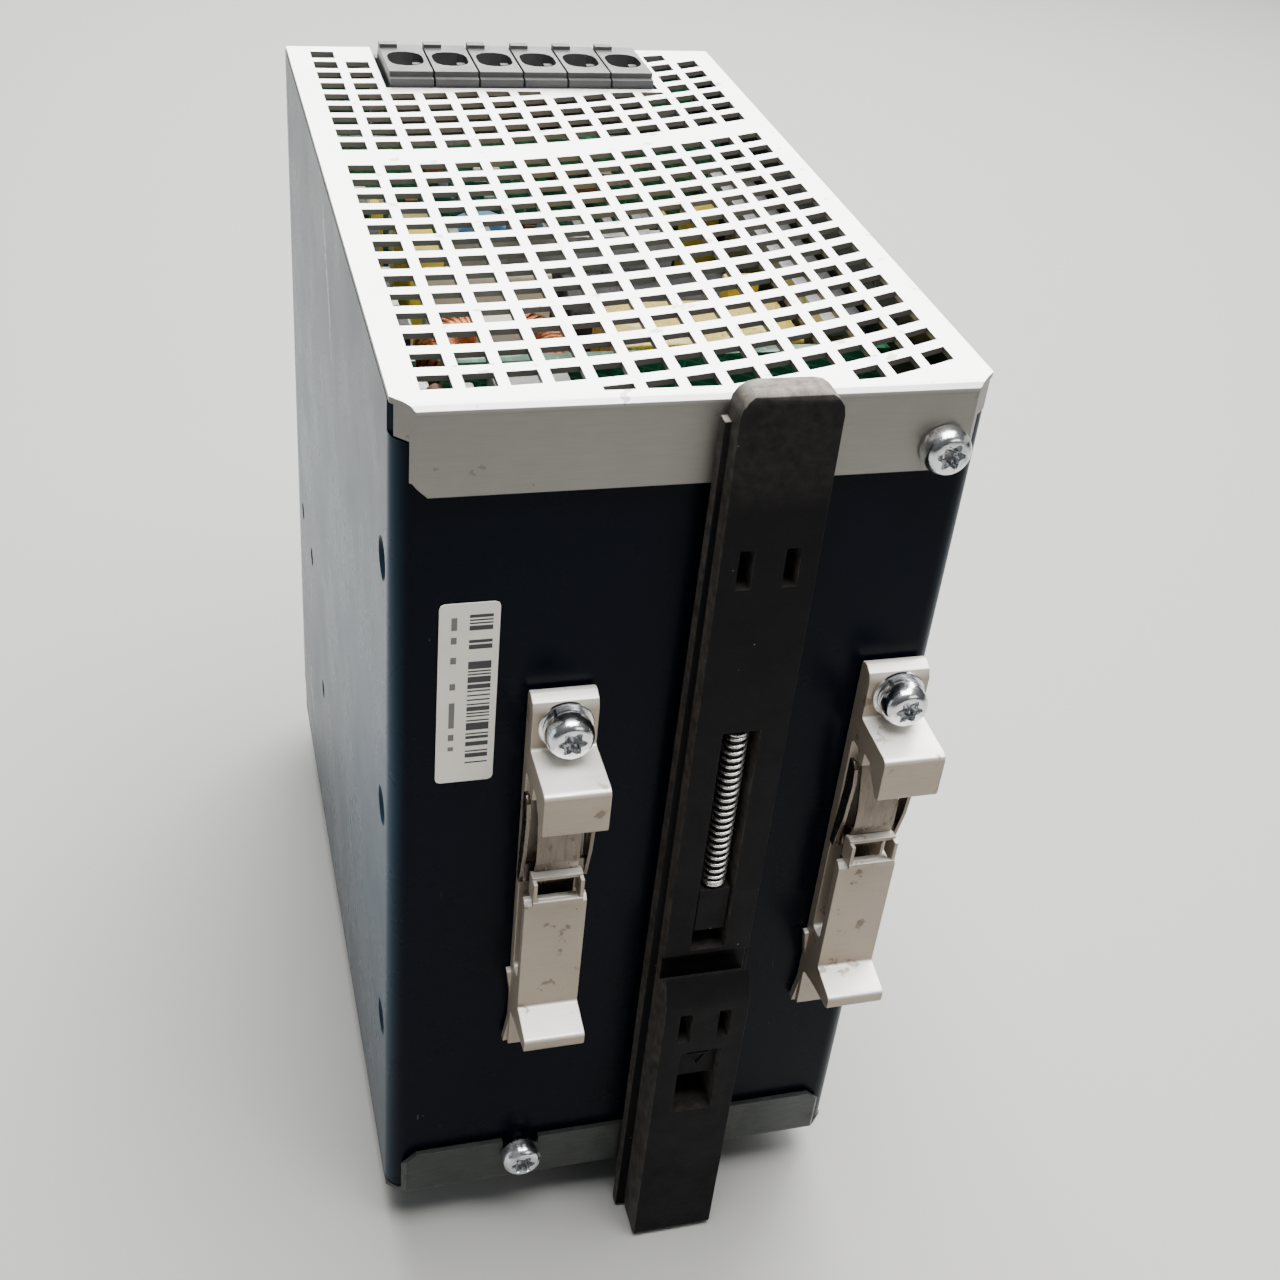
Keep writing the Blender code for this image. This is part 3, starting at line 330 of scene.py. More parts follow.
def mottle(tree, position, size, contrast):
    return place(tree, "mottle", Position=position, Size=size, Contrast=contrast)


def startMaterial(name, **values):
    material = bpy.data.materials.new(name)
    material.use_nodes = True
    tree = material.node_tree
    shader = tree.nodes["Principled BSDF"]
    for key, value in values.items():
        shader.inputs[key.replace("_", " ")].default_value = value
    coords = addNode(tree, "TexCoord")
    position = addNode(tree, "VectorMath", {"operation": "SCALE"}, {
        0: coords.outputs["Object"], "Scale": 1000.0,
    }).outputs[0]
    return material, tree, shader, position


def finish(
    tree, shader, colour=None, roughness=None, metallic=None, height=None, depth=0.02, strength=1.0,
):
    for name, value in (("Base Color", colour), ("Roughness", roughness), ("Metallic", metallic)):
        if value is not None:
            tree.links.new(value, shader.inputs[name])
    if height is not None:
        bump = addNode(tree, "Bump", None, {
            "Strength": strength, "Distance": depth * 0.001, "Height": height,
        })
        tree.links.new(bump.outputs[0], shader.inputs["Normal"])


# Finishes

paint = {
    "colour": (0.0007, 0.0018, 0.0052),
    "faded": (0.0011, 0.0027, 0.0072),
    "paintedSheenAndGloss": (0.03, 0.08, 0.13),  # painted reflection: the two sides drawn lighter slate blue
    "inside": (0.04, 0.05, 0.045),
    "middle": -55.0,  # the case's middle, front to back
    "brightest": 12.0,  # where the painted reflection on the sides peaks, above the rail's middle
    "paintedSheenReach": 62.0,
    "scratch": (0.5, 0.66, 0.78),
    "speck": (0.45, 0.5, 0.55),
    "roughness": (0.25, 0.31),
    # the long scuff on one side: y, half width, low, high
    "scuff": (-63.2, 1.3, 100.0, 121.5),
    "scuffLean": 0.42,
    "scuffEnd": 6.0,
}


def paintedCase():
    material, tree, shader, position = startMaterial("navyPaint", Specular_IOR_Level=0.06)
    cloud = mottle(tree, position, 30.0, 1.4)
    colour = mixColours(tree, cloud, opaque(paint["colour"]), opaque(paint["faded"]))
    split = addNode(tree, "SeparateXYZ", None, {0: position}).outputs
    facing = addNode(tree, "TexCoord").outputs["Normal"]
    normal = addNode(tree, "SeparateXYZ", None, {0: facing}).outputs
    side = maths(tree, "POWER", spread(tree, maths(tree, "ABSOLUTE", normal[0]), 0.15, 1.0), 2.2)
    # Painted reflection on the two sides, strongest a little above half-way
    lift = maths(tree, "ABSOLUTE", maths(tree, "SUBTRACT", split[2], paint["brightest"]))
    paintedSheen = times(tree, side, spread(tree, lift, 0.0, paint["paintedSheenReach"], 1.0, 0.35))
    colour = mixColours(tree, paintedSheen, colour, opaque(paint["paintedSheenAndGloss"]))
    scratch = place(
        tree, "scratches", Position=position, Stretch=(1.0, 0.5, 0.1), Width=0.012, Share=0.36,
    )
    scratch = times(tree, scratch, spread(tree, side, 0.3, 0.8, 0.1, 0.35))
    along, half, low, high = paint["scuff"]
    height = maths(tree, "SUBTRACT", split[2], caseDatum.z)
    drift = mottle(tree, position, 7.0, 3.0)
    # It leans back a little on its way down
    lean = times(tree, maths(tree, "SUBTRACT", high, height), paint["scuffLean"])
    wander = maths(tree, "ADD", lean, times(tree, drift, 1.2))
    middle = maths(tree, "ADD", along + caseDatum.y, wander)
    away = maths(tree, "ABSOLUTE", maths(tree, "SUBTRACT", split[1], middle))
    ragged = mottle(tree, position, 0.9, 4.0)
    scuff = times(tree, spread(tree, away, half, half * 0.3), ragged)
    end = paint["scuffEnd"]
    ends = times(tree, spread(tree, height, low, low + end), spread(tree, height, high, high - end))
    scuff = times(tree, times(tree, scuff, ends), maths(tree, "GREATER_THAN", normal[0], 0.9))
    scratch = maths(tree, "MAXIMUM", scratch, scuff)
    colour = mixColours(tree, scratch, colour, opaque(paint["scratch"]))
    specks = place(tree, "specks", Position=position, Spacing=4.2, Share=0.22, Radius=0.13)
    chips = place(tree, "edgeWear", Position=position, Radius=0.3, Gain=2.2, Breakup=0.95)
    bright = maths(tree, "MAXIMUM", specks, times(tree, chips, 0.4))
    colour = mixColours(tree, bright, colour, opaque(paint["speck"]))
    # Bare metal on the inside of the walls, its colour darkened to paint the shade inside the closed
    # case
    fromMiddle = maths(tree, "SUBTRACT", split[1], paint["middle"] + caseDatum.y)
    across = times(tree, normal[0], split[0])
    outwards = maths(tree, "ADD", across, times(tree, normal[1], fromMiddle))
    outside = maths(tree, "GREATER_THAN", outwards, -3.0)
    colour = mixColours(tree, outside, opaque(paint["inside"]), colour)
    low, high = paint["roughness"]
    paintedSheenAndGloss = mottle(tree, position, 14.0, 1.4)
    rough = spread(tree, paintedSheenAndGloss, 0.2, 0.8, low, high)
    orangePeel = mottle(tree, position, 0.9, 1.0)
    height = maths(tree, "SUBTRACT", orangePeel, scratch)
    finish(tree, shader, colour, rough, None, height, 0.01, 0.4)
    return material


# What most metals share; line and depth are in millimetres
metalCommon = {
    "stretch": (1.0, 1.0, 1.0), "line": 0.2, "depth": 0.01, "metallic": 0.95, "spots": 0.1,
}

metals = {
    "zincSheet": {
        "colour": (0.93, 0.93, 0.92), "other": (0.86, 0.86, 0.845), "grime": (0.45, 0.43, 0.4),
        "grimeShare": 0.02, "paintedUprightShade": (0.27, 0.255, 0.235), "roughness": (0.34, 0.5),
        "stretch": (0.04, 1.0, 1.0), "line": 0.16, "depth": 0.006, "metallic": 0.7, "spots": 0.06,
    },
    "greySheet": {
        "colour": (0.075, 0.08, 0.077), "other": (0.055, 0.06, 0.057), "grime": (0.03, 0.033, 0.03),
        "grimeShare": 0.3, "roughness": (0.36, 0.52), "stretch": (0.05, 1.0, 1.0), "depth": 0.008,
        "metallic": 0.8, "spots": 0.15,
    },
    "bracketMetal": {
        "colour": (0.97, 0.95, 0.9), "other": (0.9, 0.87, 0.81), "grime": (0.2, 0.12, 0.07),
        "grimeShare": 0.13, "paintedUprightShade": (0.4, 0.35, 0.3), "roughness": (0.4, 0.56),
        "stretch": (0.05, 1.0, 1.0), "depth": 0.012, "metallic": 0.5, "spots": 0.3,
    },
    "springSteel": {
        "colour": (0.86, 0.85, 0.82), "other": (0.7, 0.68, 0.64), "grime": (0.2, 0.14, 0.09),
        "grimeShare": 0.1, "roughness": (0.2, 0.34), "stretch": (1.0, 0.08, 0.08), "depth": 0.006,
    },
    # Painted shade: the clips' steel is drawn dark brown for the shade they sit in
    "shadedClipSteel": {
        "colour": (0.2, 0.17, 0.14), "other": (0.16, 0.135, 0.11), "grime": (0.12, 0.09, 0.07),
        "grimeShare": 0.06, "roughness": (0.2, 0.3), "stretch": (1.0, 1.0, 0.1), "line": 0.5,
        "depth": 0.003,
    },
    "brightZinc": {
        "colour": (0.86, 0.87, 0.88), "other": (0.7, 0.72, 0.74), "grime": (0.12, 0.11, 0.1),
        "grimeShare": 0.3, "roughness": (0.13, 0.27), "line": 0.5, "metallic": 1.0, "spots": 0.08,
    },
    "heatSinkMetal": {
        "colour": (0.62, 0.63, 0.64), "other": (0.48, 0.49, 0.5), "grime": (0.2, 0.2, 0.2),
        "grimeShare": 0.2, "roughness": (0.36, 0.5), "stretch": (1.0, 1.0, 0.05), "metallic": 0.85,
    },
    "solder": {
        "colour": (0.72, 0.73, 0.74), "other": (0.5, 0.51, 0.52), "grime": (0.25, 0.22, 0.18),
        "grimeShare": 0.2, "roughness": (0.2, 0.4), "line": 0.4, "depth": 0.02,
    },
    "copperWire": {
        "colour": (0.52, 0.2, 0.07), "other": (0.34, 0.12, 0.045), "grime": (0.1, 0.04, 0.025),
        "grimeShare": 0.3, "roughness": (0.22, 0.36), "line": 0.7, "metallic": 0.9,
    },
}


def bareMetal(name, look):
    material, tree, shader, position = startMaterial(name)
    cloud = mottle(tree, position, 7.0, 2.2)
    colour = mixColours(tree, cloud, opaque(look["colour"]), opaque(look["other"]))
    lines = place(tree, "brushing", Position=position, Stretch=look["stretch"], Line=look["line"])
    streaks = times(tree, lines, 0.25)
    colour = mixColours(tree, streaks, colour, opaque(look["other"]), "MULTIPLY")
    wear = place(tree, "edgeWear", Position=position, Radius=0.3, Gain=2.5, Breakup=0.7)
    stain = mottle(tree, position, 3.4, 3.2)
    stain = spread(tree, stain, 1.0 - look["grimeShare"], 1.0)
    spots = place(
        tree, "specks", Position=position, Spacing=1.7, Share=look["spots"], Radius=0.12,
    )
    dirt = maths(tree, "MAXIMUM", times(tree, stain, 0.55), times(tree, spots, 0.7))
    dirt = maths(tree, "MAXIMUM", dirt, times(tree, wear, look["grimeShare"]))
    colour = mixColours(tree, dirt, colour, opaque(look["grime"]))
    # Painted shade: faces that don't face up are drawn darker, such as the cover's hole walls and
    # flanges and the hooks' fronts
    if "paintedUprightShade" in look:
        top = place(tree, "facing", Direction=(0, 0, 1), Sharpness=1.0)
        shadedColour = mixColours(tree, 1.0, colour, opaque(look["paintedUprightShade"]), "MULTIPLY")
        colour = mixColours(tree, spread(tree, top, 0.1, 0.7), shadedColour, colour)
    low, high = look["roughness"]
    streaky = spread(tree, lines, 0.0, 1.0, low, high)
    rough = maths(tree, "ADD", streaky, times(tree, dirt, 0.25), True)
    metallic = spread(tree, dirt, 0.0, 1.0, look["metallic"], 0.2)
    height = maths(tree, "SUBTRACT", lines, dirt)
    finish(tree, shader, colour, rough, metallic, height, look["depth"], 0.6)
    return material


# What most plastics share; grain, depth and spacing are in millimetres
plasticCommon = {
    "grain": 0.4, "depth": 0.02, "edge": 0.25, "dustAndSheenFaces": {"top": ((0, 0, 1), 0.2)}, "specks": 0.1,
    "spacing": 1.6, "specular": 0.4,
}

plastics = {
    "sliderPlastic": {
        "colour": (0.0026, 0.0024, 0.0031), "other": (0.0042, 0.0038, 0.0044), "grain": 0.34,
        "roughness": (0.42, 0.6), "edge": 0.1, "edgeColour": (0.06, 0.055, 0.05), "specular": 0.08,
        "dustAndSheenAbove": 112.0, "dustAndSheen": (0.24, 0.215, 0.19),
        # The top entry is mostly a painted highlight on the slider's upward faces; the side and slope
        # entries are dirt
        "dustAndSheenFaces": {"side": ((1, 0, 0), 0.3), "top": ((0, 0, 1), 0.98), "slope": ((0, 0.7, 0.7), 0.12)},
        "speckColour": (0.5, 0.48, 0.45), "specks": 0.32, "spacing": 1.9,
    },
    "terminalPlastic": {
        "colour": (0.04, 0.041, 0.042), "other": (0.055, 0.056, 0.057), "grain": 0.3,
        "depth": 0.014, "roughness": (0.36, 0.52), "edge": 0.35, "edgeColour": (0.16, 0.16, 0.16),
        "dustAndSheen": (0.17, 0.165, 0.16), "dustAndSheenFaces": {"top": ((0, 0, 1), 0.25)},
        "speckColour": (0.4, 0.4, 0.38), "specks": 0.12, "spacing": 2.2,
    },
    "leverPlastic": {
        "colour": (0.03, 0.03, 0.033), "other": (0.042, 0.042, 0.045), "grain": 0.3, "depth": 0.014,
        "roughness": (0.34, 0.5), "edge": 0.3, "edgeColour": (0.13, 0.13, 0.13),
        "dustAndSheen": (0.15, 0.145, 0.14), "speckColour": (0.4, 0.4, 0.38), "spacing": 2.4,
    },
    "frontPlastic": {
        "colour": (0.36, 0.37, 0.38), "other": (0.4, 0.405, 0.41), "grain": 0.35, "depth": 0.016,
        "roughness": (0.4, 0.55), "edge": 0.2, "edgeColour": (0.55, 0.55, 0.55),
        "dustAndSheen": (0.5, 0.49, 0.47), "dustAndSheenFaces": {"top": ((0, 0, 1), 0.3)},
        "speckColour": (0.2, 0.19, 0.18), "spacing": 3.0,
    },
    "trimmerPlastic": {
        "colour": (0.72, 0.68, 0.56), "other": (0.64, 0.6, 0.48), "grain": 0.3, "depth": 0.01,
        "roughness": (0.35, 0.5), "edge": 0.2, "edgeColour": (0.8, 0.77, 0.68),
        "dustAndSheen": (0.4, 0.38, 0.33), "speckColour": (0.3, 0.28, 0.25), "spacing": 2.0,
    },
    "ferriteBlock": {
        "colour": (0.05, 0.05, 0.052), "other": (0.03, 0.03, 0.032), "grain": 0.5, "depth": 0.05,
        "roughness": (0.5, 0.7), "edge": 0.3, "edgeColour": (0.12, 0.12, 0.12),
        "dustAndSheen": (0.2, 0.19, 0.18), "dustAndSheenFaces": {"top": ((0, 0, 1), 0.3)},
        "speckColour": (0.3, 0.3, 0.3), "spacing": 1.2,
    },
    "blackPart": {
        "colour": (0.016, 0.016, 0.017), "other": (0.024, 0.024, 0.025), "grain": 0.3,
        "depth": 0.012, "roughness": (0.3, 0.45), "edgeColour": (0.1, 0.1, 0.1),
        "dustAndSheen": (0.1, 0.098, 0.095), "dustAndSheenFaces": {"top": ((0, 0, 1), 0.25)},
        "speckColour": (0.4, 0.4, 0.4), "specks": 0.08,
    },
    "creamPart": {
        "colour": (0.93, 0.88, 0.74), "other": (0.84, 0.78, 0.62), "roughness": (0.35, 0.5),
        "edge": 0.2, "edgeColour": (0.85, 0.82, 0.74), "dustAndSheen": (0.5, 0.47, 0.4),
        "dustAndSheenFaces": {"top": ((0, 0, 1), 0.15)}, "speckColour": (0.3, 0.26, 0.2), "specks": 0.15,
        "spacing": 1.4,
    },
    "yellowPart": {
        "colour": (0.88, 0.7, 0.1), "other": (0.78, 0.58, 0.06), "grain": 0.5,
        "roughness": (0.25, 0.4), "edgeColour": (0.9, 0.78, 0.35), "dustAndSheen": (0.6, 0.5, 0.25),
        "dustAndSheenFaces": {"top": ((0, 0, 1), 0.15)}, "speckColour": (0.35, 0.25, 0.08), "specks": 0.12,
    },
    "bluePart": {
        "colour": (0.16, 0.4, 0.66), "other": (0.12, 0.33, 0.58), "grain": 0.5,
        "roughness": (0.28, 0.42), "edgeColour": (0.45, 0.66, 0.82), "dustAndSheen": (0.4, 0.5, 0.58),
        "speckColour": (0.1, 0.16, 0.25),
    },
    "brownPart": {
        "colour": (0.22, 0.1, 0.045), "other": (0.15, 0.065, 0.03), "roughness": (0.3, 0.45),
        "edgeColour": (0.4, 0.22, 0.12), "dustAndSheen": (0.3, 0.2, 0.14), "speckColour": (0.1, 0.05, 0.03),
    },
    "greenPart": {
        "colour": (0.02, 0.24, 0.1), "other": (0.015, 0.17, 0.07), "roughness": (0.35, 0.5),
        "edgeColour": (0.15, 0.45, 0.28), "dustAndSheen": (0.2, 0.32, 0.25),
        "speckColour": (0.02, 0.08, 0.04),
    },
    "greyPart": {
        "colour": (0.34, 0.35, 0.34), "other": (0.28, 0.29, 0.28), "roughness": (0.3, 0.5),
        "edgeColour": (0.55, 0.56, 0.55), "dustAndSheen": (0.45, 0.45, 0.43),
        "speckColour": (0.12, 0.12, 0.12),
    },
}


def mouldedPlastic(name, look):
    material, tree, shader, position = startMaterial(name, Specular_IOR_Level=look["specular"])
    cloud = mottle(tree, position, 5.0, 2.0)
    colour = mixColours(tree, cloud, opaque(look["colour"]), opaque(look["other"]))
    wear = place(tree, "edgeWear", Position=position, Radius=0.22, Gain=3.0, Breakup=0.55)
    worn = times(tree, wear, look["edge"])
    colour = mixColours(tree, worn, colour, opaque(look["edgeColour"]))
    dustAndSheenMottle = mottle(tree, position, 1.3, 2.6)
    total = None
    # Dirt on faces that look a given way; on the slider's top it is mostly a painted highlight
    for direction, amount in look["dustAndSheenFaces"].values():
        faced = place(tree, "facing", Direction=direction, Sharpness=2.0)
        dustAndSheenCover = times(tree, faced, spread(tree, dustAndSheenMottle, 0.0, 0.9, 0.35, 1.0))
        share = times(tree, dustAndSheenCover, amount)
        # Pockets below this height keep only a small share of the upward marks, dirt and painted
        # highlight alike
        if direction[2] and "dustAndSheenAbove" in look:
            height = addNode(tree, "SeparateXYZ", None, {0: position}).outputs[2]
            level = look["dustAndSheenAbove"] + caseDatum.z
            share = times(tree, share, spread(tree, height, level, level + 4.0, 0.08, 1.0))
        total = share if total is None else maths(tree, "MAXIMUM", total, share)
    colour = mixColours(tree, total, colour, opaque(look["dustAndSheen"]))
    specks = place(
        tree, "specks", Position=position, Spacing=look["spacing"], Share=look["specks"],
        Radius=0.08,
    )
    specks = times(tree, specks, spread(tree, total, 0.0, 0.5, 0.45, 1.0))
    colour = mixColours(tree, specks, colour, opaque(look["speckColour"]))
    low, high = look["roughness"]
    cloudy = spread(tree, cloud, 0.2, 0.8, low, high)
    rough = maths(tree, "ADD", cloudy, times(tree, total, 0.25), True)
    grain = addNode(tree, "TexVoronoi", None, {
        "Vector": position, "Scale": 1.0 / look["grain"],
    }).outputs["Distance"]
    height = maths(tree, "ADD", grain, times(tree, specks, 1.5))
    finish(tree, shader, colour, rough, None, height, look["depth"], 0.7)
    return material


boardLook = {
    "mask": (0.012, 0.135, 0.06), "deep": (0.008, 0.085, 0.04), "copper": (0.05, 0.26, 0.13),
    "pad": (0.55, 0.55, 0.5), "track": 2.2,
}


def circuitBoard():
    material, tree, shader, position = startMaterial("circuitBoard", Coat_Weight=0.3)
    cloud = mottle(tree, position, 6.0, 2.0)
    colour = mixColours(tree, cloud, opaque(boardLook["mask"]), opaque(boardLook["deep"]))
    turned = addNode(tree, "Mapping", None, {
        "Vector": position, "Rotation": (math.pi / 2, 0, 0.3),
    }).outputs[0]
    tracks = addNode(tree, "TexBrick", {"offset": 0.37}, {
        "Vector": turned, "Scale": 1.0, "Mortar Size": 0.12, "Mortar Smooth": 0.1,
        "Brick Width": boardLook["track"] * 2, "Row Height": boardLook["track"] / 2,
    }).outputs["Fac"]
    pads = place(tree, "specks", Position=position, Spacing=1.8, Share=0.45, Radius=0.32)
    colour = mixColours(tree, times(tree, tracks, 0.5), colour, opaque(boardLook["copper"]))
    colour = mixColours(tree, pads, colour, opaque(boardLook["pad"]))
    rough = spread(tree, cloud, 0.2, 0.8, 0.28, 0.42)
    relief = maths(tree, "ADD", tracks, pads)
    finish(tree, shader, colour, rough, times(tree, pads, 0.8), relief, 0.03)
    return material


tapeLook = {
    "colour": (0.78, 0.6, 0.08), "deep": (0.6, 0.42, 0.045), "paintedSheen": (0.92, 0.8, 0.32),
    "wrap": 1.9,
}


def windingTape():
    material, tree, shader, position = startMaterial(
        "windingTape", Coat_Weight=0.1, Coat_Roughness=0.25,
    )
    cloud = mottle(tree, position, 3.0, 2.4)
    colour = mixColours(tree, cloud, opaque(tapeLook["colour"]), opaque(tapeLook["deep"]))
    laps = addNode(tree, "TexWave", {"bands_direction": "Z", "wave_profile": "SAW"}, {
        "Vector": position, "Scale": 0.5 / tapeLook["wrap"], "Distortion": 0.6, "Detail": 1.0,
    }).outputs[1]
    # Painted highlights: the edge of each lap and the creases are drawn lighter
    colour = mixColours(tree, spread(tree, laps, 0.9, 1.0), colour, opaque(tapeLook["paintedSheen"]))
    creases = place(
        tree, "scratches", Position=position, Stretch=(1.0, 1.0, 0.3), Width=0.05, Share=0.6,
    )
    colour = mixColours(tree, times(tree, creases, 0.5), colour, opaque(tapeLook["paintedSheen"]))
    rough = spread(tree, cloud, 0.2, 0.8, 0.22, 0.38)
    finish(tree, shader, colour, rough, None, maths(tree, "ADD", laps, creases), 0.08)
    return material


sleeveLook = {
    "colour": (0.009, 0.009, 0.011), "other": (0.016, 0.0155, 0.018), "paintedRimHighlight": (0.3, 0.3, 0.31),
}


def capacitorSleeve():
    material, tree, shader, position = startMaterial("capacitorSleeve", Specular_IOR_Level=0.25)
    cloud = mottle(tree, position, 4.0, 2.0)
    colour = mixColours(tree, cloud, opaque(sleeveLook["colour"]), opaque(sleeveLook["other"]))
    # Painted highlight: a light band on the rounded rim that faces forward and up, towards the front
    # lamp
    faced = place(tree, "facing", Direction=(0, -0.8, 0.6), Sharpness=1.0)
    paintedRimHighlight = spread(tree, faced, 0.93, 0.95)
    colour = mixColours(tree, times(tree, paintedRimHighlight, 0.8), colour, opaque(sleeveLook["paintedRimHighlight"]))
    rough = spread(tree, cloud, 0.2, 0.8, 0.25, 0.4)
    creases = mottle(tree, position, 1.2, 1.5)
    finish(tree, shader, colour, rough, None, creases, 0.05, 0.5)
    return material


labelLook = {
    "paper": (0.82, 0.78, 0.71), "aged": (0.74, 0.7, 0.62), "ink": (0.03, 0.03, 0.033),
    "bars": (21.35, 23.95, 77.3, 98.7),  # left, right, low, high
    "barModule": 0.21,  # the thinnest bar
    "marks": (25.3, 25.95, 79.5, 98.0),
    "markModule": 0.9,
}


def labelFilm():
    material, tree, shader, position = startMaterial("labelFilm")
    cloud = mottle(tree, position, 6.0, 1.6)
    colour = mixColours(tree, cloud, opaque(labelLook["paper"]), opaque(labelLook["aged"]))
    split = addNode(tree, "SeparateXYZ", None, {0: position}).outputs
    across, rise = split[0], maths(tree, "SUBTRACT", split[2], caseDatum.z)

    def between(value, low, high):
        return times(
            tree, maths(tree, "GREATER_THAN", value, low), maths(tree, "LESS_THAN", value, high),
        )

    def within(box):
        left, right, low, high = box
        return times(tree, between(across, left, right), between(rise, low, high))

    def dashes(module, gaps, box):
        steps = maths(tree, "FLOOR", maths(tree, "DIVIDE", rise, module))
        noise = addNode(tree, "TexWhiteNoise", {"noise_dimensions": "1D"}, {"W": steps})
        inked = maths(tree, "GREATER_THAN", noise.outputs["Value"], gaps)
        return times(tree, inked, within(box))

    bars = dashes(labelLook["barModule"], 0.48, labelLook["bars"])
    # Plain dashes in place of print
    marks = dashes(labelLook["markModule"], 0.4, labelLook["marks"])
    printed = maths(tree, "MAXIMUM", bars, times(tree, marks, 0.85))
    colour = mixColours(tree, printed, colour, opaque(labelLook["ink"]))
    rough = spread(tree, cloud, 0.2, 0.8, 0.42, 0.6)
    fibre = mottle(tree, position, 0.4, 1.0)
    finish(tree, shader, colour, rough, None, fibre, 0.01, 0.4)
    return material


lensLook = {"colour": (0.42, 0.7, 0.36), "deep": (0.3, 0.58, 0.26)}


def lampLens():
    material, tree, shader, position = startMaterial("lampLens", Transmission_Weight=0.35, IOR=1.49)
    cloud = mottle(tree, position, 1.0, 1.5)
    colour = mixColours(tree, cloud, opaque(lensLook["colour"]), opaque(lensLook["deep"]))
    finish(tree, shader, colour, spread(tree, cloud, 0.0, 1.0, 0.08, 0.2))
    return material


finishes = {
    made.name: made for made in (
        paintedCase(), circuitBoard(), windingTape(), capacitorSleeve(), labelFilm(), lampLens(),
    )
}
for name, look in metals.items():
    finishes[name] = bareMetal(name, {**metalCommon, **look})
for name, look in plastics.items():
    finishes[name] = mouldedPlastic(name, {**plasticCommon, **look})
print("finishes mixed")


# Making pieces

def addPiece(name, shape, finishName, body, stands=(), sharp=35, inFrame=False):
    if not inFrame:
        bmesh.ops.transform(shape, matrix=toFrameMatrix, verts=shape.verts)
    bmesh.ops.recalc_face_normals(shape, faces=shape.faces)
    data = bpy.data.meshes.new(name)
    shape.to_mesh(data)
    shape.free()
    data.shade_smooth()
    data.set_sharp_from_angle(angle=math.radians(sharp))
    data.materials.append(finishes[finishName])
    piece = bpy.data.objects.new(name, data)
    bpy.context.scene.collection.objects.link(piece)
    weigh = piece.modifiers.new("evenShading", "WEIGHTED_NORMAL")
    weigh.keep_sharp = True
    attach(piece, body)
    if stands:
        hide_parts(*stands)
    return piece


def softCopy(node, name, finishName, edge=0.15, segments=2, limit=28):
    # The node's own shape, its edges softened
    shape = bmesh.new()
    shape.from_mesh(frame["nodes"][node].data)
    bmesh.ops.remove_doubles(shape, verts=shape.verts, dist=2e-6)
    bmesh.ops.dissolve_limit(shape, angle_limit=math.radians(1), verts=shape.verts, edges=shape.edges)
    if edge:
        turned = [
            ridge for ridge in shape.edges
            if len(ridge.link_faces) == 2 and ridge.calc_face_angle(0) > math.radians(limit)
        ]
        bmesh.ops.bevel(
            shape, geom=turned, offset=edge * 0.001, segments=segments, profile=0.5, affect="EDGES",
            clamp_overlap=True,
        )
    return addPiece(name, shape, finishName, bodyOf[node], (node,), inFrame=True)


def addBox(shape, low, high, soft=0.0):
    low, high = Vector(low), Vector(high)
    matrix = Matrix.LocRotScale((low + high) / 2, None, high - low)
    made = bmesh.ops.create_cube(shape, size=1.0, matrix=matrix)["verts"]
    if soft:
        edges = list({edge for corner in made for edge in corner.link_edges})
        bmesh.ops.bevel(shape, geom=edges, offset=soft, segments=2, profile=0.5, affect="EDGES")


def addRings(shape, rings, loop=False):
    # Skins a run of rings; a ring of one point closes the end
    made = [[shape.verts.new(point) for point in ring] for ring in rings]
    steps = max(len(ring) for ring in made)
    pairs = list(zip(made, made[1:])) + ([(made[-1], made[0])] if loop else [])
    for first, second in pairs:
        for i in range(steps):
            j = (i + 1) % steps
            corners = list(dict.fromkeys((
                first[i % len(first)], first[j % len(first)],
                second[j % len(second)], second[i % len(second)],
            )))
            if len(corners) > 2:
                shape.faces.new(corners)


def ringAt(centre, axis, radius, height, steps=32, wave=0.0, lobes=6):
    turn = Vector(axis).to_track_quat("Z", "Y").to_matrix()
    if radius == 0:
        return [Vector(centre) + turn @ Vector((0, 0, height))]
    points = []
    for i in range(steps):
        angle = 2 * math.pi * i / steps
        reach = radius + wave * math.cos(lobes * angle)
        spot = Vector((reach * math.cos(angle), reach * math.sin(angle), height))
        points.append(Vector(centre) + turn @ spot)
    return points


def addTurned(shape, profile, centre, axis, steps=32, loop=False):
    rings = [ringAt(centre, axis, radius, height, steps) for radius, height in profile]
    addRings(shape, rings, loop)


def addTube(shape, points, radius, sides=8):
    points = [Vector(point) for point in points]
    rings = []
    up = Vector((0.31, 0.17, 0.93))
    for i, point in enumerate(points):
        ahead = points[min(i + 1, len(points) - 1)] - points[max(i - 1, 0)]
        along = ahead.normalized()
        side = along.cross(up).normalized()
        up = side.cross(along).normalized()
        rings.append([
            point + radius * (math.cos(turn) * side + math.sin(turn) * up)
            for turn in (2 * math.pi * k / sides for k in range(sides))
        ])
    addRings(shape, [[points[0]]] + rings + [[points[-1]]])


# Case, covers, brackets, slider and terminals: the CAD shapes with softened edges

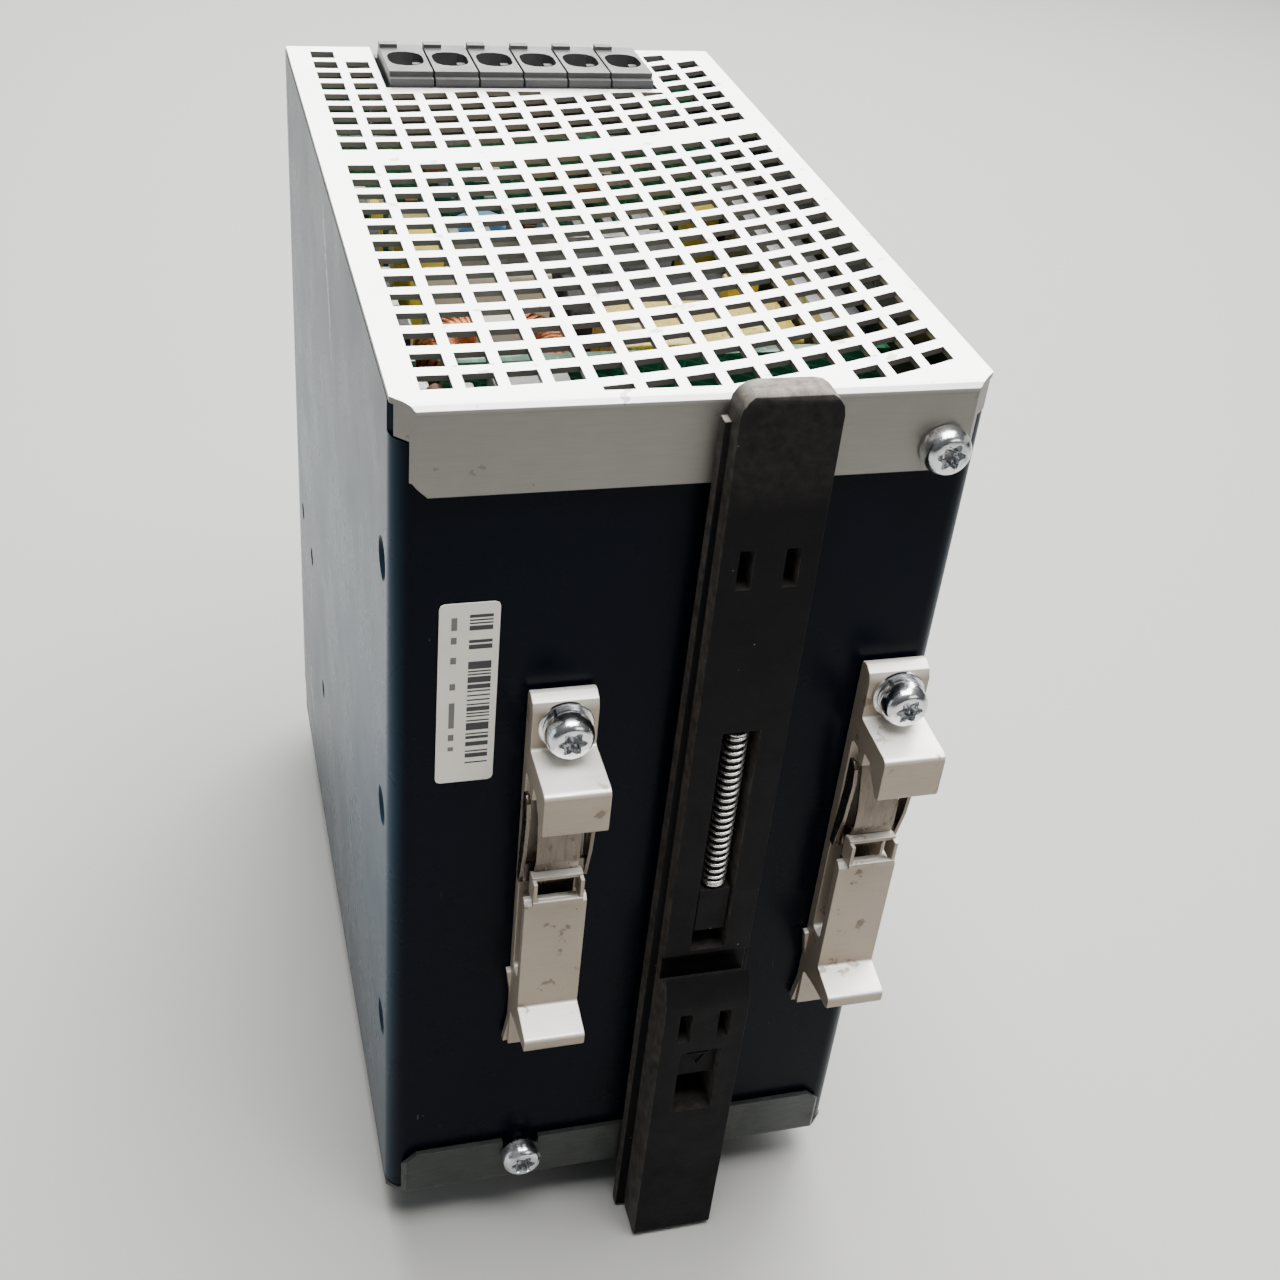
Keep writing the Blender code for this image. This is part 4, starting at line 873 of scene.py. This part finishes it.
softened = {
    # node: piece, finish, edge
    "housing": ("caseShell", "navyPaint", 0.12),
    "top_cover": ("perforatedCover", "zincSheet", 0.14),
    "bottom_cover": ("bottomPlate", "greySheet", 0.14),
    "front_panel": ("frontPlate", "frontPlastic", 0.3),
    "voltage_trimmer": ("voltageKnob", "trimmerPlastic", 0.15),
    "signal_terminal": ("signalSocket", "terminalPlastic", 0.1),
    "release_slider": ("footSlider", "sliderPlastic", 0.22),
    "guide_lug": ("springLug", "sliderPlastic", 0.15),
    "bracket_left": ("railHookLeft", "bracketMetal", 0.18),
    "bracket_right": ("railHookRight", "bracketMetal", 0.18),
    "bracket_clip_left": ("railClipLeft", "shadedClipSteel", 0.08),
    "bracket_clip_right": ("railClipRight", "shadedClipSteel", 0.08),
    "rating_label": ("plainLabel", "labelFilm", 0.03),
    "main_board": ("mainBoard", "circuitBoard", 0.0),
    "rear_board": ("rearBoard", "circuitBoard", 0.0),
    "front_board": ("frontBoard", "circuitBoard", 0.0),
    "transformer_core": ("transformerCore", "ferriteBlock", 0.3),
    "choke_core": ("chokeRing", "ferriteBlock", 0.3),
    "bulk_capacitor_1": ("bulkCanUpper", "capacitorSleeve", 0.0),
    "bulk_capacitor_2": ("bulkCanLower", "capacitorSleeve", 0.0),
    "output_capacitor_1": ("outputCanUpper", "capacitorSleeve", 0.0),
    "output_capacitor_2": ("outputCanLower", "capacitorSleeve", 0.0),
    "film_capacitor": ("filmBlock", "yellowPart", 0.0),
    "safety_capacitor": ("ceramicDisc", "bluePart", 0.0),
    "output_heat_sink": ("finnedSink", "heatSinkMetal", 0.1),
    "side_heat_sink": ("sideSink", "heatSinkMetal", 0.1),
    "output_choke": ("outputInductor", "ferriteBlock", 0.2),
    "lamp_lens_1": ("lampUpper", "lampLens", 0.0),
    "lamp_lens_2": ("lampLower", "lampLens", 0.0),
}
for side, count in (("output", 6), ("input", 4)):
    for number in range(1, count + 1):
        softened[f"{side}_pole_{number}"] = (f"{side}Pole{number}", "terminalPlastic", 0.12)
        softened[f"{side}_lever_{number}"] = (f"{side}Lever{number}", "leverPlastic", 0.15)
for node, (name, finishName, edge) in softened.items():
    softCopy(node, name, finishName, edge)
print("case pieces softened")


# Screws and washers

screwLook = {
    "head": 2.8, "height": 2.35, "socket": 1.36, "lobe": 0.27, "depth": 1.7, "shank": 1.4,
    "dome": ((1.0, 0.75), (0.985, 1.2), (0.94, 1.65), (0.86, 2.0), (0.76, 2.24), (0.66, 2.35)),
}
washerLook = {"outer": 3.2, "inner": 1.7, "flat": 0.55, "spring": 0.8, "springOuter": 2.75}


def screwPiece(node, name, seat, shank):
    low, high = caseBox(node)
    centre = ((low.x + high.x) / 2, seat, (low.z + high.z) / 2)
    head, height, socket, lobe, depth, stem, dome = screwLook.values()
    outline = [
        (0, -shank, 0), (stem, -shank, 0), (stem, 0, 0), (head - 0.12, 0, 0), (head, 0.12, 0),
    ]
    outline += [(head * share, rise, 0) for share, rise in dome]
    outline += [
        (socket + 0.06, height, lobe), (socket, height - 0.12, lobe),
        (socket * 0.97, height - depth, lobe), (0.5, height - depth - 0.25, 0),
        (0, height - depth - 0.4, 0),
    ]
    rings = [ringAt(centre, (0, 1, 0), radius, rise, 48, wave) for radius, rise, wave in outline]
    shape = bmesh.new()
    addRings(shape, rings)
    return addPiece(name, shape, "brightZinc", bodyOf[node], (node,), 40)


def washerPiece(node, name, seat):
    low, high = caseBox(node)
    centre = ((low.x + high.x) / 2, seat, (low.z + high.z) / 2)
    outer, inner, flat = washerLook["outer"], washerLook["inner"], washerLook["flat"]
    shape = bmesh.new()
    addTurned(shape, [
        (inner, 0), (outer - 0.1, 0), (outer, 0.1),
        (outer, flat - 0.1), (outer - 0.1, flat), (inner, flat),
    ], centre, (0, 1, 0), 48, True)
    # Split spring washer, its two ends apart
    rings = []
    top, reach = washerLook["spring"], washerLook["springOuter"]
    section = (
        (inner, 0), (reach, 0), (reach, top - 0.2), (reach - 0.1, top - 0.1), (inner, top - 0.1),
    )
    steps = 44
    for i in range(steps + 1):
        angle = math.radians(60 + 350 * i / steps)
        lift = flat + 0.02 + 0.12 * i / steps
        outwards = Vector((math.cos(angle), 0, math.sin(angle)))
        rings.append([
            Vector(centre) + outwards * radius + Vector((0, lift + rise, 0))
            for radius, rise in section
        ])
    ends = [[sum(ring, Vector()) / len(ring)] for ring in (rings[0], rings[-1])]
    addRings(shape, [ends[0]] + rings + [ends[1]])
    return addPiece(name, shape, "brightZinc", bodyOf[node], (node,), 40)


for tag in ("left", "right"):
    seat = caseBox(f"bracket_washer_{tag}")[0].y - 0.2
    washerPiece(f"bracket_washer_{tag}", f"railWashers{tag.capitalize()}", seat)
    screwPiece(f"bracket_screw_{tag}", f"railScrew{tag.capitalize()}", seat + 1.4, 9.0)
for tag in ("top", "bottom"):
    seat = caseBox(f"cover_screw_{tag}")[1].y - screwLook["height"]
    screwPiece(f"cover_screw_{tag}", f"coverScrew{tag.capitalize()}", seat, 7.0)
print("screws turned")


# Spring in the slider's slot

springLook = {
    "wire": 0.2, "radius": 1.36, "turns": 25, "pointsPerTurn": 22, "core": 1.1,
    "deadTurns": 1.5, "deadPitch": 2.2,  # the pitch of the end turns, in wire radii
}


def springPiece():
    low, high = caseBox("slider_spring")
    x, y = (low.x + high.x) / 2, (low.y + high.y) / 2
    wire, turns = springLook["wire"], springLook["turns"]
    bottom, top = low.z + wire + 0.1, high.z - wire - 0.1
    count = turns * springLook["pointsPerTurn"]
    points = []
    # The end turns lie close together
    dead = springLook["deadTurns"] / turns
    edge = springLook["deadTurns"] * springLook["deadPitch"] * wire / (top - bottom)
    for i in range(count + 1):
        share = i / count
        turn = 2 * math.pi * turns * share
        if share < dead:
            rise = share / dead * edge
        elif share > 1 - dead:
            rise = 1 - (1 - share) / dead * edge
        else:
            rise = edge + (share - dead) / (1 - 2 * dead) * (1 - 2 * edge)
        points.append((
            x + springLook["radius"] * math.cos(turn), y + springLook["radius"] * math.sin(turn),
            bottom + rise * (top - bottom),
        ))
    shape = bmesh.new()
    addTube(shape, points, wire, 8)
    piece = addPiece("returnSpring", shape, "springSteel", "case", ("slider_spring",), 60)
    # Painted shade: a dark core inside the coil stands in for the shade there
    shape = bmesh.new()
    shadeCoreRadius = springLook["core"]
    addTurned(shape, [
        (0, bottom), (shadeCoreRadius - 0.1, bottom), (shadeCoreRadius, bottom + 0.1),
        (shadeCoreRadius, top - 0.1), (shadeCoreRadius - 0.1, top), (0, top),
    ], (x, y, 0), (0, 0, 1), 20)
    core = addPiece("springShadeCore", shape, "blackPart", "case")
    for soft in (piece, core):
        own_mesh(soft)


springPiece()
print("spring coiled")


# Wound parts

windingLook = {"ring": 7.4, "section": 3.2, "wire": 0.46, "turns": 17, "wrap": 0.25}


def addToroid(shape, centre, first, last):
    ring, section, wire, turns = (
        windingLook[key] for key in ("ring", "section", "wire", "turns")
    )
    points = []
    steps = 14  # points in each turn
    for i in range(turns * steps + 1):
        share = i / (turns * steps)
        along = math.radians(first + (last - first) * share)
        around = 2 * math.pi * turns * share
        reach = ring + section * math.cos(around)
        points.append(Vector(centre) + Vector((
            reach * math.cos(along), reach * math.sin(along), section * math.sin(around),
        )))
    addTube(shape, points, wire, 6)


def woundParts():
    low, high = caseBox("choke_winding")
    coreLow, coreHigh = caseBox("choke_core")
    centre = ((low.x + high.x) / 2, (coreLow.y + coreHigh.y) / 2, (low.z + high.z) / 2)
    shape = bmesh.new()
    addToroid(shape, centre, -72, 62)
    addToroid(shape, centre, 118, 252)
    addPiece("chokeTurns", shape, "copperWire", "case", ("choke_winding",), 60)

    low, high = caseBox("transformer_winding")
    shape = bmesh.new()
    coreLow, coreHigh = caseBox("transformer_core")
    addBox(shape, (low.x + 0.2, low.y, low.z), (high.x - 0.2, coreLow.y - 0.3, high.z), 1.4)
    addBox(shape, (low.x + 0.2, coreHigh.y + 0.3, low.z), (high.x - 0.2, high.y, high.z), 1.4)
    addPiece("transformerCoil", shape, "windingTape", "case", ("transformer_winding",))
    # Tape wrapped over the core's upper end
    shape = bmesh.new()
    wrap = windingLook["wrap"]
    low = (coreLow.x - wrap, coreLow.y - wrap, coreHigh.z - 7)
    high = (coreHigh.x + wrap, coreHigh.y + wrap, coreHigh.z + wrap)
    addBox(shape, low, high, 0.5)
    addPiece("coreTape", shape, "windingTape", "case")


woundParts()
print("coils wound")


# Small parts on the boards, grouped by finish

scattered = {
    # finish: piece, slot
    "blackPart": ("blackParts", "capacitor_sleeve"),
    "creamPart": ("creamParts", "trimmer_plastic"),
    "yellowPart": ("yellowParts", "film_capacitor_case"),
    "bluePart": ("blueParts", "blue_ceramic"),
    "brownPart": ("brownParts", "copper_wire"),
    "greenPart": ("greenParts", "circuit_board"),
    "greyPart": ("greyParts", "heat_sink_metal"),
    "solder": ("solderJoints", "zinc_screw"),
}
shownBlocks = (
    # The larger blocks that show through the holes: finish, low, high, edge
    ("greyPart", (10.4, -19.6, 104.0), (19.2, -9.5, 117.6), 0.5),
    ("greenPart", (20.4, -15.0, 106.0), (25.6, -9.5, 116.8), 0.3),
    ("creamPart", (20.8, -19.0, 109.0), (23.0, -16.5, 116.0), 0.3),
    ("creamPart", (9.4, -50.0, 98.0), (14.6, -45.2, 109.6), 0.5),
    ("creamPart", (2.6, -62.6, 96.0), (19.6, -58.9, 110.4), 0.6),
    ("yellowPart", (-28.2, -86.4, 97.0), (-23.0, -82.4, 109.4), 0.5),
    ("yellowPart", (-23.4, -53.4, 100.0), (-19.0, -50.0, 112.6), 0.5),
    ("yellowPart", (22.0, -87.4, 96.0), (25.8, -82.0, 110.0), 0.5),
    ("creamPart", (15.6, -81.6, 100.0), (21.4, -80.4, 111.0), 0.3),
    ("greyPart", (-22.0, -104.0, 95.0), (-2.0, -100.0, 104.0), 0.4),
    ("blackPart", (4.0, -106.0, 97.0), (16.0, -100.5, 106.0), 0.4),
    ("greyPart", (-28.0, -99.0, 99.0), (-20.0, -94.0, 108.0), 0.4),
    # Narrow boards behind the front panel, beside the terminals
    ("greenPart", (20.6, -108.4, 60.0), (29.6, -107.2, 121.5), 0.1),
    ("greenPart", (-29.8, -108.4, 116.2), (-20.3, -107.2, 121.5), 0.1),
)


def scatterParts():
    chance = random.Random(17)
    groups = {kind: bmesh.new() for kind in scattered}

    def block(kind, low, high, soft=0.25):
        addBox(groups[kind], low, high, soft)

    def can(kind, centre, axis, radius, length):
        end = length / 2
        addTurned(groups[kind], [
            (0, -end), (radius - 0.3, -end), (radius, -end + 0.3), (radius, end - 1.4),
            (radius - 0.25, end - 1.1), (radius, end - 0.8), (radius, end - 0.3),
            (radius - 0.3, end), (0, end - 0.15),
        ], centre, axis, 20)

    # Along the upper edge of the main board
    y = -6.0
    while y > -85.0:
        kind = chance.choice([
            "blackPart", "blackPart", "creamPart", "greyPart", "brownPart", "solder", "greenPart",
        ])
        long, tall = chance.uniform(1.8, 4.2), chance.uniform(2.0, 6.0)
        out = chance.uniform(0.8, 3.4)
        top = chance.uniform(108.0, 115.0)
        block(kind, (27.2 - out, y - long, top - tall), (27.3, y, top), 0.2)
        for pin in range(chance.randint(0, 3)):
            at, foot = y - long * (pin + 0.5) / 3, top - tall
            block("solder", (26.4, at - 0.2, foot - 1.2), (27.3, at + 0.2, foot), 0.08)
        y -= long + chance.uniform(0.3, 1.4)
    # Rear face of the rear board, close under the cover
    x, face = 21.5, -19.9
    while x > -28.0:
        wide = chance.uniform(1.4, 3.2)
        kind = chance.choice(["blackPart", "brownPart", "solder", "greyPart", "creamPart"])
        top = chance.uniform(104.0, 112.0)
        low = (x - wide, face, top - chance.uniform(1.2, 2.4))
        block(kind, low, (x, face + chance.uniform(0.5, 1.2), top), 0.15)
        x -= wide + chance.uniform(0.8, 3.4)
    for kind, low, high, soft in shownBlocks:
        block(kind, low, high, soft)
    can("brownPart", (24.6, -19.0, 113.8), (0, 1, 0), 1.1, 4.6)
    # Chips on the narrow board
    for i in range(9):
        x = chance.uniform(21.2, 27.6)
        z = 84.0 + 4.0 * i
        kind = ("blackPart", "creamPart", "brownPart", "greyPart")[i % 4]
        block(kind, (x, -107.2, z), (x + 1.6, -106.2, z + 1.4), 0.1)
    # Front board, facing the rear
    face = -88.4
    for i in range(26):
        x, z = chance.uniform(-27, 24), chance.uniform(96, 116)
        wide, tall = chance.uniform(1.2, 4.0), chance.uniform(1.0, 2.4)
        deep = chance.uniform(0.6, 2.0)
        kind = chance.choice([
            "blackPart", "brownPart", "creamPart", "greyPart", "solder", "yellowPart",
        ])
        block(kind, (x, face, z - tall), (x + wide, face + deep, z), 0.15)
    can("blackPart", (-8.0, -95.5, 99.0), (0, 0, 1), 4.0, 18.0)
    can("blackPart", (2.5, -95.5, 98.0), (0, 0, 1), 4.0, 16.0)
    can("yellowPart", (13.0, -95.5, 101.0), (0, 0, 1), 3.6, 10.0)
    block("yellowPart", (-7.0, -96.5, 108.2), (1.5, -91.2, 109.8), 0.3)
    # Lower parts, seen through the slots of the bottom cover
    for i in range(18):
        x, y = chance.uniform(-24, 20), chance.uniform(-84, -26)
        size, tall = chance.uniform(3, 7), chance.uniform(6, 16)
        kind = chance.choice(["blackPart", "yellowPart", "bluePart", "brownPart", "creamPart"])
        block(kind, (x, y, 14.0), (x + size, y + size * 0.7, 14.0 + tall), 0.4)
    for kind, shape in groups.items():
        name, slot = scattered[kind]
        addPiece(name, shape, kind, "case")


scatterParts()
print("boards filled")


# Metal clamps seen down the wire entries, and the slider's arrow

def clampPieces():
    mouths = {"output": (6, 1, 125.9), "input": (4, -1, -1.9)}  # count, way out, level
    shape = bmesh.new()
    lips = bmesh.new()
    for side, (count, way, mouth) in mouths.items():
        for number in range(1, count + 1):
            low, high = caseBox(f"{side}_pole_{number}")
            x = (low.x + high.x) / 2
            ends = sorted((mouth - way * 3.2, mouth - way * 13.0))
            addBox(shape, (x - 1.9, -101.9, ends[0]), (x + 1.9, -101.2, ends[1]), 0.15)
            lip = sorted((mouth - way * 0.9, mouth - way * 11.0))
            addBox(lips, (x - 2.45, -101.0, lip[0]), (x - 1.1, -99.9, lip[1]), 0.2)
            addBox(lips, (x - 2.45, -99.2, lip[0]), (x - 1.1, -98.1, lip[1]), 0.2)
    addPiece("cageClamps", shape, "brightZinc", "case")
    addPiece("entryLips", lips, "terminalPlastic", "case")


def pocketFrames():
    # Open frame at the head of each hook's lower block, where the clip tucks in
    for tag in ("left", "right"):
        low, high = caseBox(f"bracket_clip_{tag}")
        x = (low.x + high.x) / 2
        shape = bmesh.new()
        for way in (-1, 1):
            near, far = sorted((x + way * 2.6, x + way * 3.1))
            addBox(shape, (near, 3.9, 59.5), (far, 6.5, 62.9), 0.12)
        addBox(shape, (x - 3.1, 4.4, 62.6), (x + 3.1, 5.6, 63.2), 0.15)
        addBox(shape, (x - 3.1, 6.0, 59.3), (x + 3.1, 6.6, 60.1), 0.15)
        name = f"pocketFrame{tag.capitalize()}"
        addPiece(name, shape, "bracketMetal", "case")


def arrowPiece():
    x, z, floorY = -7.3, 28.7, 7.6
    outline = [(-1.5, 1.3), (1.5, 1.3), (0, -1.5)]
    inner = [(a * 0.62, b * 0.62 + 0.06) for a, b in outline]
    shape = bmesh.new()
    rings = []
    for rise in (0.0, 0.22):
        rings.append(([Vector((x + a, floorY + rise, z + b)) for a, b in outline],
                      [Vector((x + a, floorY + rise, z + b)) for a, b in inner]))
    (outerLow, innerLow), (outerHigh, innerHigh) = rings
    addRings(shape, [outerLow, outerHigh, innerHigh, innerLow], True)
    addPiece("pullArrow", shape, "sliderPlastic", "release_slider")


clampPieces()
pocketFrames()
arrowPiece()
print("small details added")


# Floor

def addFloor():
    material, tree, shader, position = startMaterial("paleFloor")
    cloud = mottle(tree, position, 300.0, 0.4)
    shade = floorLook["colour"]
    colour = mixColours(tree, cloud, shade, tuple(part * 0.97 for part in shade[:3]) + (1,))
    finish(tree, shader, colour, spread(tree, cloud, 0.0, 1.0, floorLook["roughness"], 0.8))
    shape = bmesh.new()
    level = cadBox[0].z - floorLook["drop"] * 0.001
    reach = floorLook["reach"] * 0.001
    lowered = Matrix.Translation((0, 0, level))
    bmesh.ops.create_grid(shape, x_segments=1, y_segments=1, size=reach, matrix=lowered)
    data = bpy.data.meshes.new("floor")
    shape.to_mesh(data)
    shape.free()
    data.materials.append(material)
    floor = bpy.data.objects.new("floor", data)
    bpy.context.scene.collection.objects.link(floor)


addFloor()
